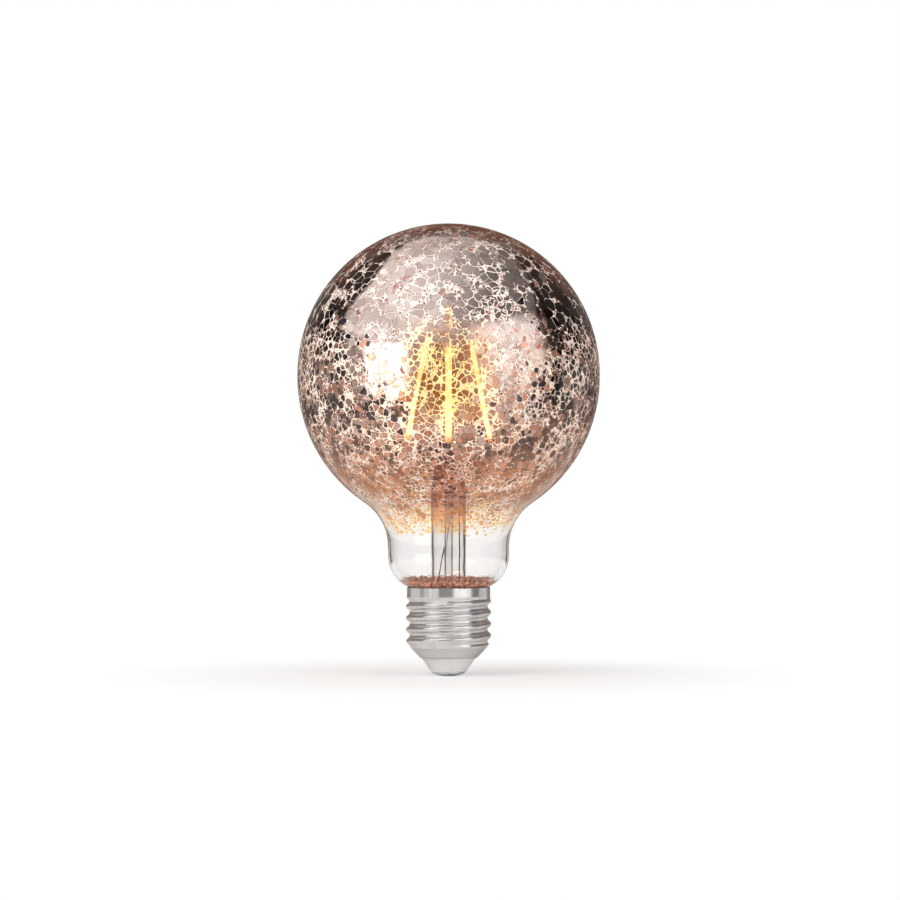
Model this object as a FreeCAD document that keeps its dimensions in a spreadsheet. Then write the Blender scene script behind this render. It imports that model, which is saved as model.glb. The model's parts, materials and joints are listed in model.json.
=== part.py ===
import FreeCAD, Part
import math
import os
import re
import Sketcher
from FreeCAD import Placement, Rotation, Vector

# A globe bulb with four LED filaments and a 27 mm screw cap, standing on its centre contact.
# Millimetres. Z runs up the axis, zero is the lowest point of the contact, -Y is the front.

# Driving sizes: name, value, meaning
DRIVING_SIZES = [
    ("globe_radius", 47.0, "outside of the globe"),
    ("globe_straight", 0.7, "straight band at the globe's widest place"),
    ("shoulder_bend", 16.4, "hollow bend between globe and neck"),
    ("neck_radius", 18.8, "outside of the neck"),
    ("neck_straight", 2.67, "straight length of the neck"),
    ("base_bend", 10.9, "bend under the neck"),
    ("skirt_bend", 1.5, "hollow bend from the base into the skirt"),
    ("skirt_end_z", 20.5, "lower end of the glass"),
    ("glass_wall", 0.8, "wall of the globe"),
    ("stem_radius", 5.5, "outside of the stem tube"),
    ("stem_wall", 0.8, "wall of the stem tube"),
    ("flare_bend", 7.0, "bend of the stem's flared foot"),
    ("flare_land", 1.0, "height sealed to the skirt"),
    ("stem_end_z", 58.0, "where the tube starts to flatten"),
    ("press_start_z", 63.0, "where the press is fully flat"),
    ("press_end_z", 69.5, "top of the press"),
    ("press_width", 8.9, "across the flat press"),
    ("press_depth", 3.0, "thickness of the flat press"),
    ("press_corner", 1.2, "rounded corners of the press and its hollow"),
    ("hollow_end_z", 60.6, "ceiling of the hollow in the stem"),
    ("hollow_width", 7.6, "hollow at its ceiling, across the press"),
    ("hollow_depth", 3.2, "hollow at its ceiling, through the press"),
    ("pumping_hole_z", 64.0, "hole between the pumping tube and the globe"),
    ("exhaust_radius", 1.4, "outside of the pumping tube"),
    ("exhaust_wall", 0.5, "wall of the pumping tube"),
    ("exhaust_tip_z", 19.0, "sealed tip of the pumping tube"),
    ("post_radius", 1.75, "glass post"),
    ("button_radius", 2.5, "glass button on the post"),
    ("button_rise", 2.18, "middle of the button over the top of the lit strips"),
    ("button_wire_gap", 1.0, "height between the two wires in the button"),
    ("filament_length", 31.5, "lit strip"),
    ("filament_width", 2.0, "lit strip, across"),
    ("filament_depth", 1.4, "lit strip, through"),
    ("filament_corner", 0.45, "rounded corners of a lit strip"),
    ("foot_reach", 13.0, "axis to the foot of a lit strip"),
    ("top_reach", 7.0, "axis to the top of a lit strip"),
    ("strip_lift", 2.5, "foot of a lit strip over its support wire"),
    ("tab_length", 3.25, "metal tab on each end of a strip"),
    ("tab_width", 0.9, "metal tab, across"),
    ("tab_thickness", 0.25, "metal tab, through"),
    ("weld_gap", 0.1, "wire end to tab, at a weld"),
    ("support_radius", 0.25, "support wires"),
    ("support_bend", 0.6, "bends of the support wires"),
    ("foot_wire_lift", 0.8, "support wires under the strips, over the press"),
    ("lead_radius", 0.2, "lead wires"),
    ("lead_bend", 0.3, "bends of the lead wires"),
    ("right_lead_x", 3.4, "right lead wire"),
    ("right_lead_y", -0.5, "right lead wire"),
    ("left_lead_x", 2.3, "left lead wire in the press"),
    ("left_lead_y", 0.6, "left lead wire in the press"),
    ("left_lead_low_x", -3.4, "left lead wire at the foot of the stem"),
    ("left_lead_low_y", 1.9, "left lead wire, clear of the pumping tube"),
    ("left_lead_low_z", 30.0, "lower end of the slanting run"),
    ("left_joint_x", -2.7, "left lead wire at its joint over the press"),
    ("left_joint_y", 2.6, "left lead wire at its joint over the press"),
    ("rim_z", 27.5, "upper rim of the cap"),
    ("rim_clearance", 0.38, "glass to the cap at its rim"),
    ("collar_radius", 12.92, "outside of the smooth collar"),
    ("collar_end_z", 24.5, "lower end of the smooth collar"),
    ("thread_end_z", 22.9, "where the thread has its full depth"),
    ("thread_major", 26.4, "crest diameter"),
    ("thread_minor", 24.26, "root diameter"),
    ("thread_pitch", 3.6286, "25.4 mm over seven turns"),
    ("first_crest_z", 12.5, "a crest on the right side"),
    ("cone_angle", 42.0, "lower cone, from upright, in degrees"),
    ("cone_blend", 0.6, "rounding between thread and cone"),
    ("lip_radius", 9.1, "lower lip of the cap"),
    ("lip_z", 5.78, "lower lip of the cap"),
    ("sheet_wall", 0.3, "sheet of the cap"),
    ("seal_gap", 0.08, "insulator to cap, and cement to cap"),
    ("insulator_top_z", 8.3, "top of the insulator"),
    ("insulator_slope", 36.0, "insulator's cone, from upright, in degrees"),
    ("insulator_foot_radius", 5.5, "lower edge of the insulator"),
    ("insulator_foot_z", 1.43, "lower edge of the insulator"),
    ("contact_radius", 5.2, "centre contact"),
    ("contact_flat", 0.9, "flat middle of the contact"),
    ("contact_rise", 1.0, "edge of the contact over its middle"),
    ("contact_edge", 0.3, "thickness at the contact's edge"),
    ("eyelet_radius", 1.2, "outside of the contact's eyelet"),
    ("eyelet_wall", 0.5, "wall of the eyelet"),
    ("eyelet_stand", 0.6, "eyelet over the insulator"),
    ("cement_height", 4.8, "cement between skirt and cap"),
    ("cement_room", 0.73, "glass to the cap at the thread's root"),
    ("board_z", 14.6, "underside of the circuit board"),
    ("board_clearance", 1.83, "circuit board to the cap at the thread's root"),
    ("board_thickness", 1.0, "circuit board"),
    ("wire_hole_gap", 0.1, "wire to its hole in the board"),
    ("wire_stub", 0.5, "wire end below the board"),
    ("shell_wire_edge", 1.2, "shell wire's hole in from the board's edge"),
    ("shell_wire_angle", 135.0, "direction of the shell wire, in degrees"),
    ("capacitor_radius", 2.5, "smoothing capacitor"),
    ("capacitor_height", 5.2, "smoothing capacitor"),
    ("capacitor_crimp", 0.25, "depth of the groove round the can"),
    ("capacitor_x", 4.1, "smoothing capacitor"),
    ("capacitor_y", 3.7, "smoothing capacitor"),
    ("choke_radius", 2.6, "flanges of the choke"),
    ("choke_core_radius", 1.3, "core of the choke"),
    ("choke_winding_radius", 2.3, "winding of the choke"),
    ("choke_height", 5.0, "choke"),
    ("choke_flange", 0.8, "thickness of a flange"),
    ("choke_x", -4.6, "choke"),
    ("choke_y", -3.4, "choke"),
    ("resistor_radius", 1.2, "end of the fusible resistor"),
    ("resistor_waist", 0.95, "middle of the fusible resistor"),
    ("resistor_length", 6.0, "fusible resistor"),
    ("resistor_x", 7.2, "fusible resistor"),
    ("resistor_lift", 0.3, "fusible resistor over the board"),
    ("chip_leg_width", 0.4, "legs of both chips"),
    ("chip_leg_thickness", 0.2, "legs of both chips"),
    ("chip_leg_reach", 1.0, "legs outside the chip"),
    ("rectifier_length", 4.7, "bridge rectifier"),
    ("rectifier_width", 3.8, "bridge rectifier"),
    ("rectifier_height", 2.4, "bridge rectifier"),
    ("rectifier_y", 5.2, "bridge rectifier"),
    ("driver_length", 4.9, "driver chip"),
    ("driver_width", 3.9, "driver chip"),
    ("driver_height", 1.6, "driver chip"),
    ("driver_y", -5.2, "driver chip"),
    ("ceramic_length", 2.0, "ceramic capacitor"),
    ("ceramic_width", 1.25, "ceramic capacitor"),
    ("ceramic_height", 0.9, "ceramic capacitor"),
    ("ceramic_x", -7.2, "ceramic capacitor"),
    ("ceramic_y", -1.4, "ceramic capacitor"),
]

# Sizes that follow from the driving sizes: name, formula
WORKED_OUT_SIZES = [
    ("collar_bore", "collar_radius - sheet_wall"),
    ("base_centre_r", "neck_radius - base_bend"),
    ("rim_reach", "collar_bore - rim_clearance - base_centre_r"),
    ("neck_end_z", "rim_z + sqrt(base_bend^2 - rim_reach^2)"),
    ("shoulder_z", "neck_end_z + neck_straight"),
    ("shoulder_centre_r", "neck_radius + shoulder_bend"),
    ("shoulder_reach", "globe_radius + shoulder_bend"),
    ("lower_centre_z", "shoulder_z + sqrt(shoulder_reach^2 - shoulder_centre_r^2)"),
    ("upper_centre_z", "lower_centre_z + globe_straight"),
    ("bulb_length", "upper_centre_z + globe_radius"),
    ("thread_bore", "thread_minor / 2 - sheet_wall"),
    ("skirt_radius", "thread_bore - cement_room"),
    ("skirt_centre_r", "skirt_radius + skirt_bend"),
    ("skirt_reach", "base_bend + skirt_bend"),
    ("skirt_z", "neck_end_z - sqrt(skirt_reach^2 - (skirt_centre_r - base_centre_r)^2)"),
    ("skirt_bore", "skirt_radius - glass_wall"),
    ("flare_centre_r", "stem_radius + flare_bend"),
    ("flare_land_z", "skirt_end_z + flare_land"),
    ("flare_z", "flare_land_z + sqrt(flare_bend^2 - (flare_centre_r - skirt_bore)^2)"),
    ("exhaust_bore", "exhaust_radius - exhaust_wall"),
    ("foot_wire_z", "press_end_z + foot_wire_lift"),
    ("foot_z", "foot_wire_z + strip_lift"),
    ("top_z", "foot_z + sqrt(filament_length^2 - (foot_reach - top_reach)^2)"),
    ("button_z", "top_z + button_rise"),
    ("button_low_z", "button_z - sqrt(button_radius^2 - post_radius^2)"),
    ("lower_button_wire_z", "button_z - button_wire_gap / 2"),
    ("upper_button_wire_z", "button_z + button_wire_gap / 2"),
    ("lip_bore", "lip_radius - sheet_wall / cos(cone_angle)"),
    ("cone_slope", "tan(cone_angle)"),
    ("insulator_lip_r", "insulator_foot_radius + (lip_z - insulator_foot_z) * tan(insulator_slope)"),
    ("insulator_neck_r", "min(insulator_lip_r; lip_bore - seal_gap)"),
    ("insulator_top_r", "lip_bore - seal_gap + (insulator_top_z - lip_z) * cone_slope"),
    ("contact_top_z", "contact_rise + contact_edge"),
    ("board_top_z", "board_z + board_thickness"),
    ("board_radius", "thread_bore - board_clearance"),
    ("shell_wire_reach", "board_radius - shell_wire_edge"),
    ("rectifier_middle_z", "rectifier_height / 2"),
    ("driver_middle_z", "driver_height / 2"),
]

ALIASES = {name for name, *rest in DRIVING_SIZES + WORKED_OUT_SIZES}
FULL_TURN = 360.0
HALF_TURN = 180.0

# The pole of a cubic spline stands off its curve by this share of the bend there.
POLE_SHARE = 1 / 6

doc = FreeCAD.newDocument("globe_bulb")
sheet = doc.addObject("Spreadsheet::Sheet", "Sizes")
parts = []


def fill_sheet():
    """Write the driving sizes as plain numbers and the rest as formulas."""
    for row, (name, number, meaning) in enumerate(DRIVING_SIZES, start=1):
        sheet.set(f"A{row}", name)
        sheet.set(f"B{row}", str(number))
        sheet.set(f"C{row}", meaning)
        sheet.setAlias(f"B{row}", name)
    first = len(DRIVING_SIZES) + 1
    for row, (name, formula) in enumerate(WORKED_OUT_SIZES, start=first):
        sheet.set(f"A{row}", name)
        sheet.set(f"B{row}", f"={formula}")
        sheet.setAlias(f"B{row}", name)
    doc.recompute()


def bound(text):
    """Write an expression on the sheet's names as another object writes it."""
    def with_sheet(word):
        return "Sizes." + word[0] if word[0] in ALIASES else word[0]
    return re.sub(r"[a-z]\w*", with_sheet, text)


def value(text):
    return float(sheet.evalExpression(bound(text)))


def new_body(name):
    body = doc.addObject("PartDesign::Body", name)
    body.Label = name
    parts.append(body)
    return body


def new_feature(name, shape):
    feature = doc.addObject("Part::Feature", name)
    feature.Label = name
    feature.Shape = shape
    parts.append(feature)
    return feature


def place(part, x="0", y="0", z="0", turn=Rotation()):
    """Put a part at expressions on the sheet, turned about its own origin."""
    part.Placement = Placement(Vector(value(x), value(y), value(z)), turn)
    for axis, text in zip("xyz", (x, y, z)):
        if text != "0":
            part.setExpression(f"Placement.Base.{axis}", bound(text))
    return part


def new_sketch(body, name, role, height=None):
    """Attach a sketch to one of the body's origin planes, raised along the plane's normal."""
    sketch = body.newObject("Sketcher::SketchObject", name)
    plane = next(item for item in body.Origin.OriginFeatures if item.Role == role)
    sketch.AttachmentSupport = (plane, [""])
    sketch.MapMode = "FlatFace"
    if height is not None:
        sketch.setExpression("AttachmentOffset.Base.z", bound(height))
    return sketch


def pin_point(sketch, geometry, end, x, y):
    """Tie a point of the sketch to the axes or to expressions on the sheet."""
    for kind, axis, text in (("DistanceX", -2, x), ("DistanceY", -1, y)):
        if value(text) == 0.0:
            sketch.addConstraint(Sketcher.Constraint("PointOnObject", geometry, end, axis))
        else:
            number = sketch.addConstraint(Sketcher.Constraint(kind, geometry, end, value(text)))
            sketch.setExpression(f"Constraints[{number}]", bound(text))


def arc_between(start, end, radius, turn):
    """The shorter arc from start to end, turning left for +1 and right for -1."""
    chord = end - start
    middle = (start + end) * 0.5
    left = Vector(-chord.y, chord.x, 0).normalize()
    centre = middle + left * turn * math.sqrt(max(radius**2 - (chord.Length / 2) ** 2, 0))
    angles = [math.atan2(point.y - centre.y, point.x - centre.x) for point in (start, end)]
    first, last = angles if turn > 0 else reversed(angles)
    if last < first:
        last += 2 * math.pi
    return Part.ArcOfCircle(Part.Circle(centre, Vector(0, 0, 1), radius), first, last)


def draw(sketch, outline):
    """Draw a closed outline. A step is a corner (x, y), reached by a line, or a corner with the
    radius and the turn of the bend that reaches it (x, y, radius, turn)."""
    corners = [Vector(value(x), value(y), 0) for x, y, *bend in outline]
    ends = []
    for start, corner, (x, y, *bend) in zip(corners[-1:] + corners[:-1], corners, outline):
        if bend:
            radius, turn = bend
            geometry = sketch.addGeometry(arc_between(start, corner, value(radius), turn))
            ends.append((geometry, 1, 2) if turn > 0 else (geometry, 2, 1))
        else:
            geometry = sketch.addGeometry(Part.LineSegment(start, corner))
            ends.append((geometry, 1, 2))
    pairs = zip(ends, ends[1:] + ends[:1], outline)
    for (geometry, head, tail), (following, its_head, its_tail), (x, y, *bend) in pairs:
        link = Sketcher.Constraint("Coincident", geometry, tail, following, its_head)
        sketch.addConstraint(link)
        pin_point(sketch, geometry, tail, x, y)
        if bend:
            radius, turn = bend
            rule = Sketcher.Constraint("Radius", geometry, value(radius))
            number = sketch.addConstraint(rule)
            sketch.setExpression(f"Constraints[{number}]", bound(radius))


def draw_circle(sketch, x, y, radius):
    centre = Vector(value(x), value(y), 0)
    geometry = sketch.addGeometry(Part.Circle(centre, Vector(0, 0, 1), value(radius)))
    pin_point(sketch, geometry, 3, x, y)
    number = sketch.addConstraint(Sketcher.Constraint("Radius", geometry, value(radius)))
    sketch.setExpression(f"Constraints[{number}]", bound(radius))


def turned(name, outline):
    """A body turned about the Z axis from a half section."""
    body = new_body(name)
    section = new_sketch(body, name + "_section", "XZ_Plane")
    draw(section, outline)
    revolution = body.newObject("PartDesign::Revolution", name + "_turned")
    revolution.Profile = section
    revolution.ReferenceAxis = (section, ["V_Axis"])
    revolution.Angle = FULL_TURN
    return body


def pad(body, sketch, name, length, both_ways=False):
    feature = body.newObject("PartDesign::Pad", name)
    feature.Profile = sketch
    feature.setExpression("Length", bound(length))
    if both_ways:
        feature.SideType = "Symmetric"
    return feature


def drill(body, name, role, height, circles, depth, both_ways=False, forward=False):
    """Cut round holes (x, y, radius), against the plane's normal unless forward is set."""
    sketch = new_sketch(body, name + "_section", role, height)
    for circle in circles:
        draw_circle(sketch, *circle)
    pocket = body.newObject("PartDesign::Pocket", name)
    pocket.Profile = sketch
    pocket.Reversed = forward
    pocket.setExpression("Length", bound(depth))
    if both_ways:
        pocket.SideType = "Symmetric"
    return pocket


def loft(body, kind, name, sections):
    feature = body.newObject(f"PartDesign::{kind}Loft", name)
    feature.Profile = sections[0]
    feature.Sections = sections[1:]
    return feature


def bent_wire(corners, radius, bend):
    """A round wire along straight runs that tangent arcs join."""
    edges = []
    start = corners[0]
    for before, corner, after in zip(corners, corners[1:], corners[2:]):
        back = (before - corner).normalize()
        onward = (after - corner).normalize()
        half_turn = (math.pi - back.getAngle(onward)) / 2
        setback = bend * math.tan(half_turn)
        inward = (back + onward).normalize()
        arc_start = corner + back * setback
        arc_end = corner + onward * setback
        arc_middle = corner + inward * bend * (1 / math.cos(half_turn) - 1)
        edges.append(Part.makeLine(start, arc_start))
        edges.append(Part.Arc(arc_start, arc_middle, arc_end).toShape())
        start = arc_end
    edges.append(Part.makeLine(start, corners[-1]))
    path = Part.Wire(edges)
    section = Part.Wire(Part.makeCircle(radius, corners[0], corners[1] - corners[0]))
    return path.makePipeShell([section], True, False)


def envelope_side(wall):
    """The globe's section from its top to the skirt, moved in by the wall."""
    shoulder_share = f"(globe_radius - {wall}) / shoulder_reach"
    skirt_share = f"(base_bend - {wall}) / skirt_reach"
    return [
        ("0", f"bulb_length - {wall}"),
        (f"globe_radius - {wall}", "upper_centre_z", f"globe_radius - {wall}", -1),
        (f"globe_radius - {wall}", "lower_centre_z"),
        (
            f"shoulder_centre_r * {shoulder_share}",
            f"lower_centre_z - (lower_centre_z - shoulder_z) * {shoulder_share}",
            f"globe_radius - {wall}",
            -1,
        ),
        (f"neck_radius - {wall}", "shoulder_z", f"shoulder_bend + {wall}", 1),
        (f"neck_radius - {wall}", "neck_end_z"),
        (
            f"base_centre_r + (skirt_centre_r - base_centre_r) * {skirt_share}",
            f"neck_end_z - (neck_end_z - skirt_z) * {skirt_share}",
            f"base_bend - {wall}",
            -1,
        ),
        (f"skirt_radius - {wall}", "skirt_z", f"skirt_bend + {wall}", 1),
        (f"skirt_radius - {wall}", "skirt_end_z"),
    ]


def reversed_outline(outline):
    """The same outline, drawn the other way. Each bend moves to the corner before it."""
    corners = [step[:2] for step in reversed(outline)]
    bends = [step[2:] for step in reversed(outline)]
    steps = [corners[0]]
    for corner, bend in zip(corners[1:], bends):
        steps.append(corner + (bend[0], -bend[1]) if bend else corner)
    return steps


def make_globe_envelope():
    outline = envelope_side("0") + reversed_outline(envelope_side("glass_wall"))
    turned("globe_envelope", outline)


def rounded_section(width, depth, corner):
    """A rectangle with rounded corners, X across its width, as corners and bends."""
    x = f"({width} / 2)"
    y = f"({depth} / 2)"
    return [
        (x, f"{y} - {corner}"),
        (f"{x} - {corner}", y, corner, 1),
        (f"{corner} - {x}", y),
        (f"-{x}", f"{y} - {corner}", corner, 1),
        (f"-{x}", f"{corner} - {y}"),
        (f"{corner} - {x}", f"-{y}", corner, 1),
        (f"{x} - {corner}", f"-{y}"),
        (x, f"{corner} - {y}", corner, 1),
    ]


def round_section(radius):
    """A circle as eight bends, which pair with the eight sides of a rounded section."""
    low_angle, high_angle = 15, 50
    right = [low_angle, high_angle]
    left = [HALF_TURN - high_angle, HALF_TURN - low_angle]
    angles = right + left + [HALF_TURN + angle for angle in right + left]
    return [(f"{radius} * cos({angle})", f"{radius} * sin({angle})", radius, 1) for angle in angles]


def make_stem():
    """Flared tube that flattens into the press. The wires and the pumping hole run through it."""
    flare_bore = "(skirt_bore - stem_wall)"
    inner_bend = "(flare_bend + stem_wall)"
    body = turned("stem", [
        ("stem_radius", "stem_end_z"),
        ("stem_radius", "flare_z"),
        ("skirt_bore", "flare_land_z", "flare_bend", 1),
        ("skirt_bore", "skirt_end_z"),
        (flare_bore, "skirt_end_z"),
        (flare_bore, f"flare_z - sqrt({inner_bend}^2 - (flare_centre_r - {flare_bore})^2)"),
        ("stem_radius - stem_wall", "flare_z", inner_bend, -1),
        ("stem_radius - stem_wall", "stem_end_z"),
    ])
    tube_end = new_sketch(body, "tube_end", "XY_Plane", "stem_end_z")
    draw(tube_end, round_section("stem_radius"))
    press_foot = new_sketch(body, "press_foot", "XY_Plane", "press_start_z")
    draw(press_foot, rounded_section("press_width", "press_depth", "press_corner"))
    loft(body, "Additive", "flattened_tube", [tube_end, press_foot])
    press = new_sketch(body, "press_section", "XY_Plane", "press_start_z")
    draw(press, rounded_section("press_width", "press_depth", "press_corner"))
    pad(body, press, "press", "press_end_z - press_start_z")
    hollow_foot = new_sketch(body, "hollow_foot", "XY_Plane", "stem_end_z")
    draw(hollow_foot, round_section("(stem_radius - stem_wall)"))
    hollow_top = new_sketch(body, "hollow_top", "XY_Plane", "hollow_end_z")
    draw(hollow_top, rounded_section("hollow_width", "hollow_depth", "press_corner"))
    loft(body, "Subtractive", "hollow", [hollow_foot, hollow_top])
    leads = [
        ("right_lead_x", "right_lead_y", "lead_radius"),
        ("left_lead_x", "left_lead_y", "lead_radius"),
    ]
    drill(body, "lead_holes", "XY_Plane", "press_end_z", leads, "press_end_z - stem_end_z")
    bore = [("0", "0", "exhaust_bore")]
    drill(body, "pumping_bore", "XY_Plane", "pumping_hole_z", bore, "pumping_hole_z - stem_end_z")
    side = [("0", "pumping_hole_z", "exhaust_bore")]
    drill(body, "pumping_hole", "XZ_Plane", "0", side, "press_depth", forward=True)


def make_exhaust_tube():
    tip_z = "exhaust_tip_z + exhaust_radius"
    turned("exhaust_tube", [
        ("exhaust_radius", "hollow_end_z"),
        ("exhaust_bore", "hollow_end_z"),
        ("exhaust_bore", tip_z),
        ("0", f"{tip_z} - exhaust_bore", "exhaust_bore", -1),
        ("0", "exhaust_tip_z"),
        ("exhaust_radius", tip_z, "exhaust_radius", 1),
    ])


def make_glass_post():
    """Post with a round button that holds the two upper support wires."""
    body = turned("glass_post", [
        ("0", "press_end_z"),
        ("post_radius", "press_end_z"),
        ("post_radius", "button_low_z"),
        ("button_radius", "button_z", "button_radius", 1),
        ("0", "button_z + button_radius", "button_radius", 1),
    ])
    across = [("0", "lower_button_wire_z", "support_radius")]
    drill(body, "side_wire_hole", "YZ_Plane", "0", across, "4 * button_radius", both_ways=True)
    through = [("0", "upper_button_wire_z", "support_radius")]
    drill(body, "front_wire_hole", "XZ_Plane", "0", through, "4 * button_radius", both_ways=True)


SIDES = [("right", 0.0), ("back", 90.0), ("left", 180.0), ("front", 270.0)]


def filament_lean():
    """Angle between a strip and the axis, in radians."""
    return math.asin((sheet.foot_reach - sheet.top_reach) / sheet.filament_length)


def filament_placement(direction):
    """Frame in the middle of a strip, with Z along the strip and X away from the axis."""
    lean = filament_lean()
    reach = (sheet.foot_reach + sheet.top_reach) / 2
    middle_z = (sheet.foot_z + sheet.top_z) / 2
    turn = Rotation(Vector(0, 0, 1), direction)
    tilt = Rotation(Vector(0, 1, 0), -math.degrees(lean))
    return Placement(turn.multVec(Vector(reach, 0, middle_z)), turn.multiply(tilt))


def make_filament(side, direction):
    """Lit strip with rounded sides, and a flat metal tab on each end."""
    body = new_body(f"filament_{side}")
    section = new_sketch(body, f"strip_section_{side}", "XY_Plane")
    draw(section, rounded_section("filament_depth", "filament_width", "filament_corner"))
    pad(body, section, f"strip_{side}", "filament_length", both_ways=True)
    body.Placement = filament_placement(direction)
    foot = Vector(0, 0, -(sheet.filament_length + sheet.tab_length) / 2)
    for end, offset in (("foot", foot), ("top", foot * -1)):
        tab = doc.addObject("Part::Box", f"{end}_tab_{side}")
        tab.Label = f"{end}_tab_{side}"
        tab.setExpression("Length", bound("tab_thickness"))
        tab.setExpression("Width", bound("tab_width"))
        tab.setExpression("Height", bound("tab_length"))
        corner_offset = Vector(sheet.tab_thickness, sheet.tab_width, sheet.tab_length) * 0.5
        tab.Placement = filament_placement(direction) * Placement(offset - corner_offset, Rotation())
        parts.append(tab)


def tab_reach(z):
    """Axis to the inner face of a tab at this height, less the weld gap."""
    lean = filament_lean()
    middle = filament_placement(0.0).Base
    centre_line = middle.x - (z - middle.z) * math.tan(lean)
    return centre_line - sheet.tab_thickness / 2 / math.cos(lean) - sheet.weld_gap


def make_support_wires():
    """Two straight wires through the button, and two bent ones that carry the strips' feet."""
    for name, direction, z in (
        ("side_top_wire", Vector(1, 0, 0), sheet.lower_button_wire_z),
        ("front_top_wire", Vector(0, 1, 0), sheet.upper_button_wire_z),
    ):
        end = direction * tab_reach(z)
        ends = [Vector(0, 0, z) - end, Vector(0, 0, z) + end]
        new_feature(name, bent_wire(ends, sheet.support_radius, sheet.support_bend))
    z = sheet.foot_wire_z
    reach = tab_reach(z)
    right = [
        Vector(reach, 0, z),
        Vector(sheet.right_lead_x, sheet.right_lead_y, z),
        Vector(0, -reach, z),
    ]
    left = [
        Vector(-reach, 0, z),
        Vector(sheet.left_joint_x, sheet.left_joint_y, z),
        Vector(0, reach, z),
    ]
    for name, corners in (("right_foot_wire", right), ("left_foot_wire", left)):
        new_feature(name, bent_wire(corners, sheet.support_radius, sheet.support_bend))


def make_lead_wires():
    """From the circuit board up the stem and through the press to the foot wires."""
    radius, bend = sheet.lead_radius, sheet.lead_bend
    low_z = sheet.board_z - sheet.wire_stub
    joint_z = sheet.foot_wire_z - sheet.support_radius
    x, y = sheet.right_lead_x, sheet.right_lead_y
    right = [Vector(x, y, joint_z), Vector(x, y, low_z)]
    new_feature("right_lead_wire", bent_wire(right, radius, bend))
    x, y = sheet.left_lead_x, sheet.left_lead_y
    low_x, low_y = sheet.left_lead_low_x, sheet.left_lead_low_y
    over_press_z = joint_z - radius
    below_press_z = sheet.hollow_end_z - 2 * bend
    slant_z = sheet.stem_end_z - bend
    left = [
        Vector(sheet.left_joint_x, sheet.left_joint_y, over_press_z),
        Vector(x, sheet.left_joint_y, over_press_z),
        Vector(x, y, over_press_z),
        Vector(x, y, below_press_z),
        Vector(x, low_y, slant_z),
        Vector(low_x, low_y, sheet.left_lead_low_z),
        Vector(low_x, low_y, low_z),
    ]
    new_feature("left_lead_wire", bent_wire(left, radius, bend))


class RolledSheet:
    """The cap's sheet: smooth collar, rolled round thread and lower cone, as one formula."""

    turn_count = 36
    ring_count = 72
    spare_count = 3
    step = 1e-4

    def __init__(self):
        pitch = sheet.thread_pitch
        self.height = (sheet.thread_major - sheet.thread_minor) / 2
        self.round = (pitch**2 / 4 + self.height**2) / (4 * self.height)

    def wave(self, distance):
        """Height over the root at this distance below or above a crest: two equal arcs."""
        pitch = sheet.thread_pitch
        distance = abs((distance + pitch / 2) % pitch - pitch / 2)
        if distance <= pitch / 4:
            return self.height - self.round + math.sqrt(self.round**2 - distance**2)
        return self.round - math.sqrt(self.round**2 - (pitch / 2 - distance) ** 2)

    def radius(self, z, angle):
        lead = sheet.thread_pitch * angle / (2 * math.pi)
        thread = sheet.thread_minor / 2 + self.wave(z - sheet.first_crest_z - lead)
        cone = sheet.lip_radius + (z - sheet.lip_z) * sheet.cone_slope
        overlap = max(sheet.cone_blend - abs(thread - cone), 0)
        lower = min(thread, cone) - overlap**2 / (4 * sheet.cone_blend)
        share = (z - sheet.thread_end_z) / (sheet.collar_end_z - sheet.thread_end_z)
        share = min(max(share, 0), 1)
        share = share**2 * (3 - 2 * share)
        return lower * (1 - share) + sheet.collar_radius * share

    def point(self, z, angle, depth):
        """A point of the outer face, moved in at right angles to it."""
        rise = self.radius(z + self.step, angle) - self.radius(z - self.step, angle)
        slope = rise / (2 * self.step)
        length = math.hypot(1, slope)
        radius = self.radius(z, angle) - depth / length
        return Vector(radius * math.cos(angle), radius * math.sin(angle), z + depth * slope / length)

    def face(self, depth, bottom):
        """A closed cubic surface through the formula's points, from the rim to the bottom."""
        count, rings, spare = self.turn_count, self.ring_count, self.spare_count
        drop = (bottom - sheet.rim_z) / rings
        grid = [
            [
                self.point(sheet.rim_z + ring * drop, 2 * math.pi * turn / count, depth)
                for ring in range(-spare, rings + spare + 1)
            ]
            for turn in range(count)
        ]
        around = [
            [between(grid[turn - 1][ring], grid[turn][ring], grid[(turn + 1) % count][ring])
             for ring in range(len(grid[turn]))]
            for turn in range(count)
        ]
        poles = [
            [between(row[ring - 1], row[ring], row[ring + 1]) for ring in range(1, len(row) - 1)]
            for row in around
        ]
        turn_knots = list(range(count + 1))
        ring_knots = list(range(len(poles[0]) + 4))
        surface = Part.BSplineSurface()
        surface.buildFromPolesMultsKnots(
            poles, [1] * len(turn_knots), [1] * len(ring_knots), turn_knots, ring_knots,
            True, False, 3, 3)
        surface.segment(0, count, spare + 1, spare + 1 + rings)
        return surface.toShape()


def between(before, point, after):
    """Pole of a cubic spline that passes through the point, from it and its neighbours."""
    return point + (point * 2 - before - after) * POLE_SHARE


def ring_edges(face):
    """The level edges of a face, lowest first."""
    flat = [edge for edge in face.Edges if edge.BoundBox.ZLength < sheet.sheet_wall / 10]
    return sorted(flat, key=lambda edge: edge.BoundBox.ZMin)


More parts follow.
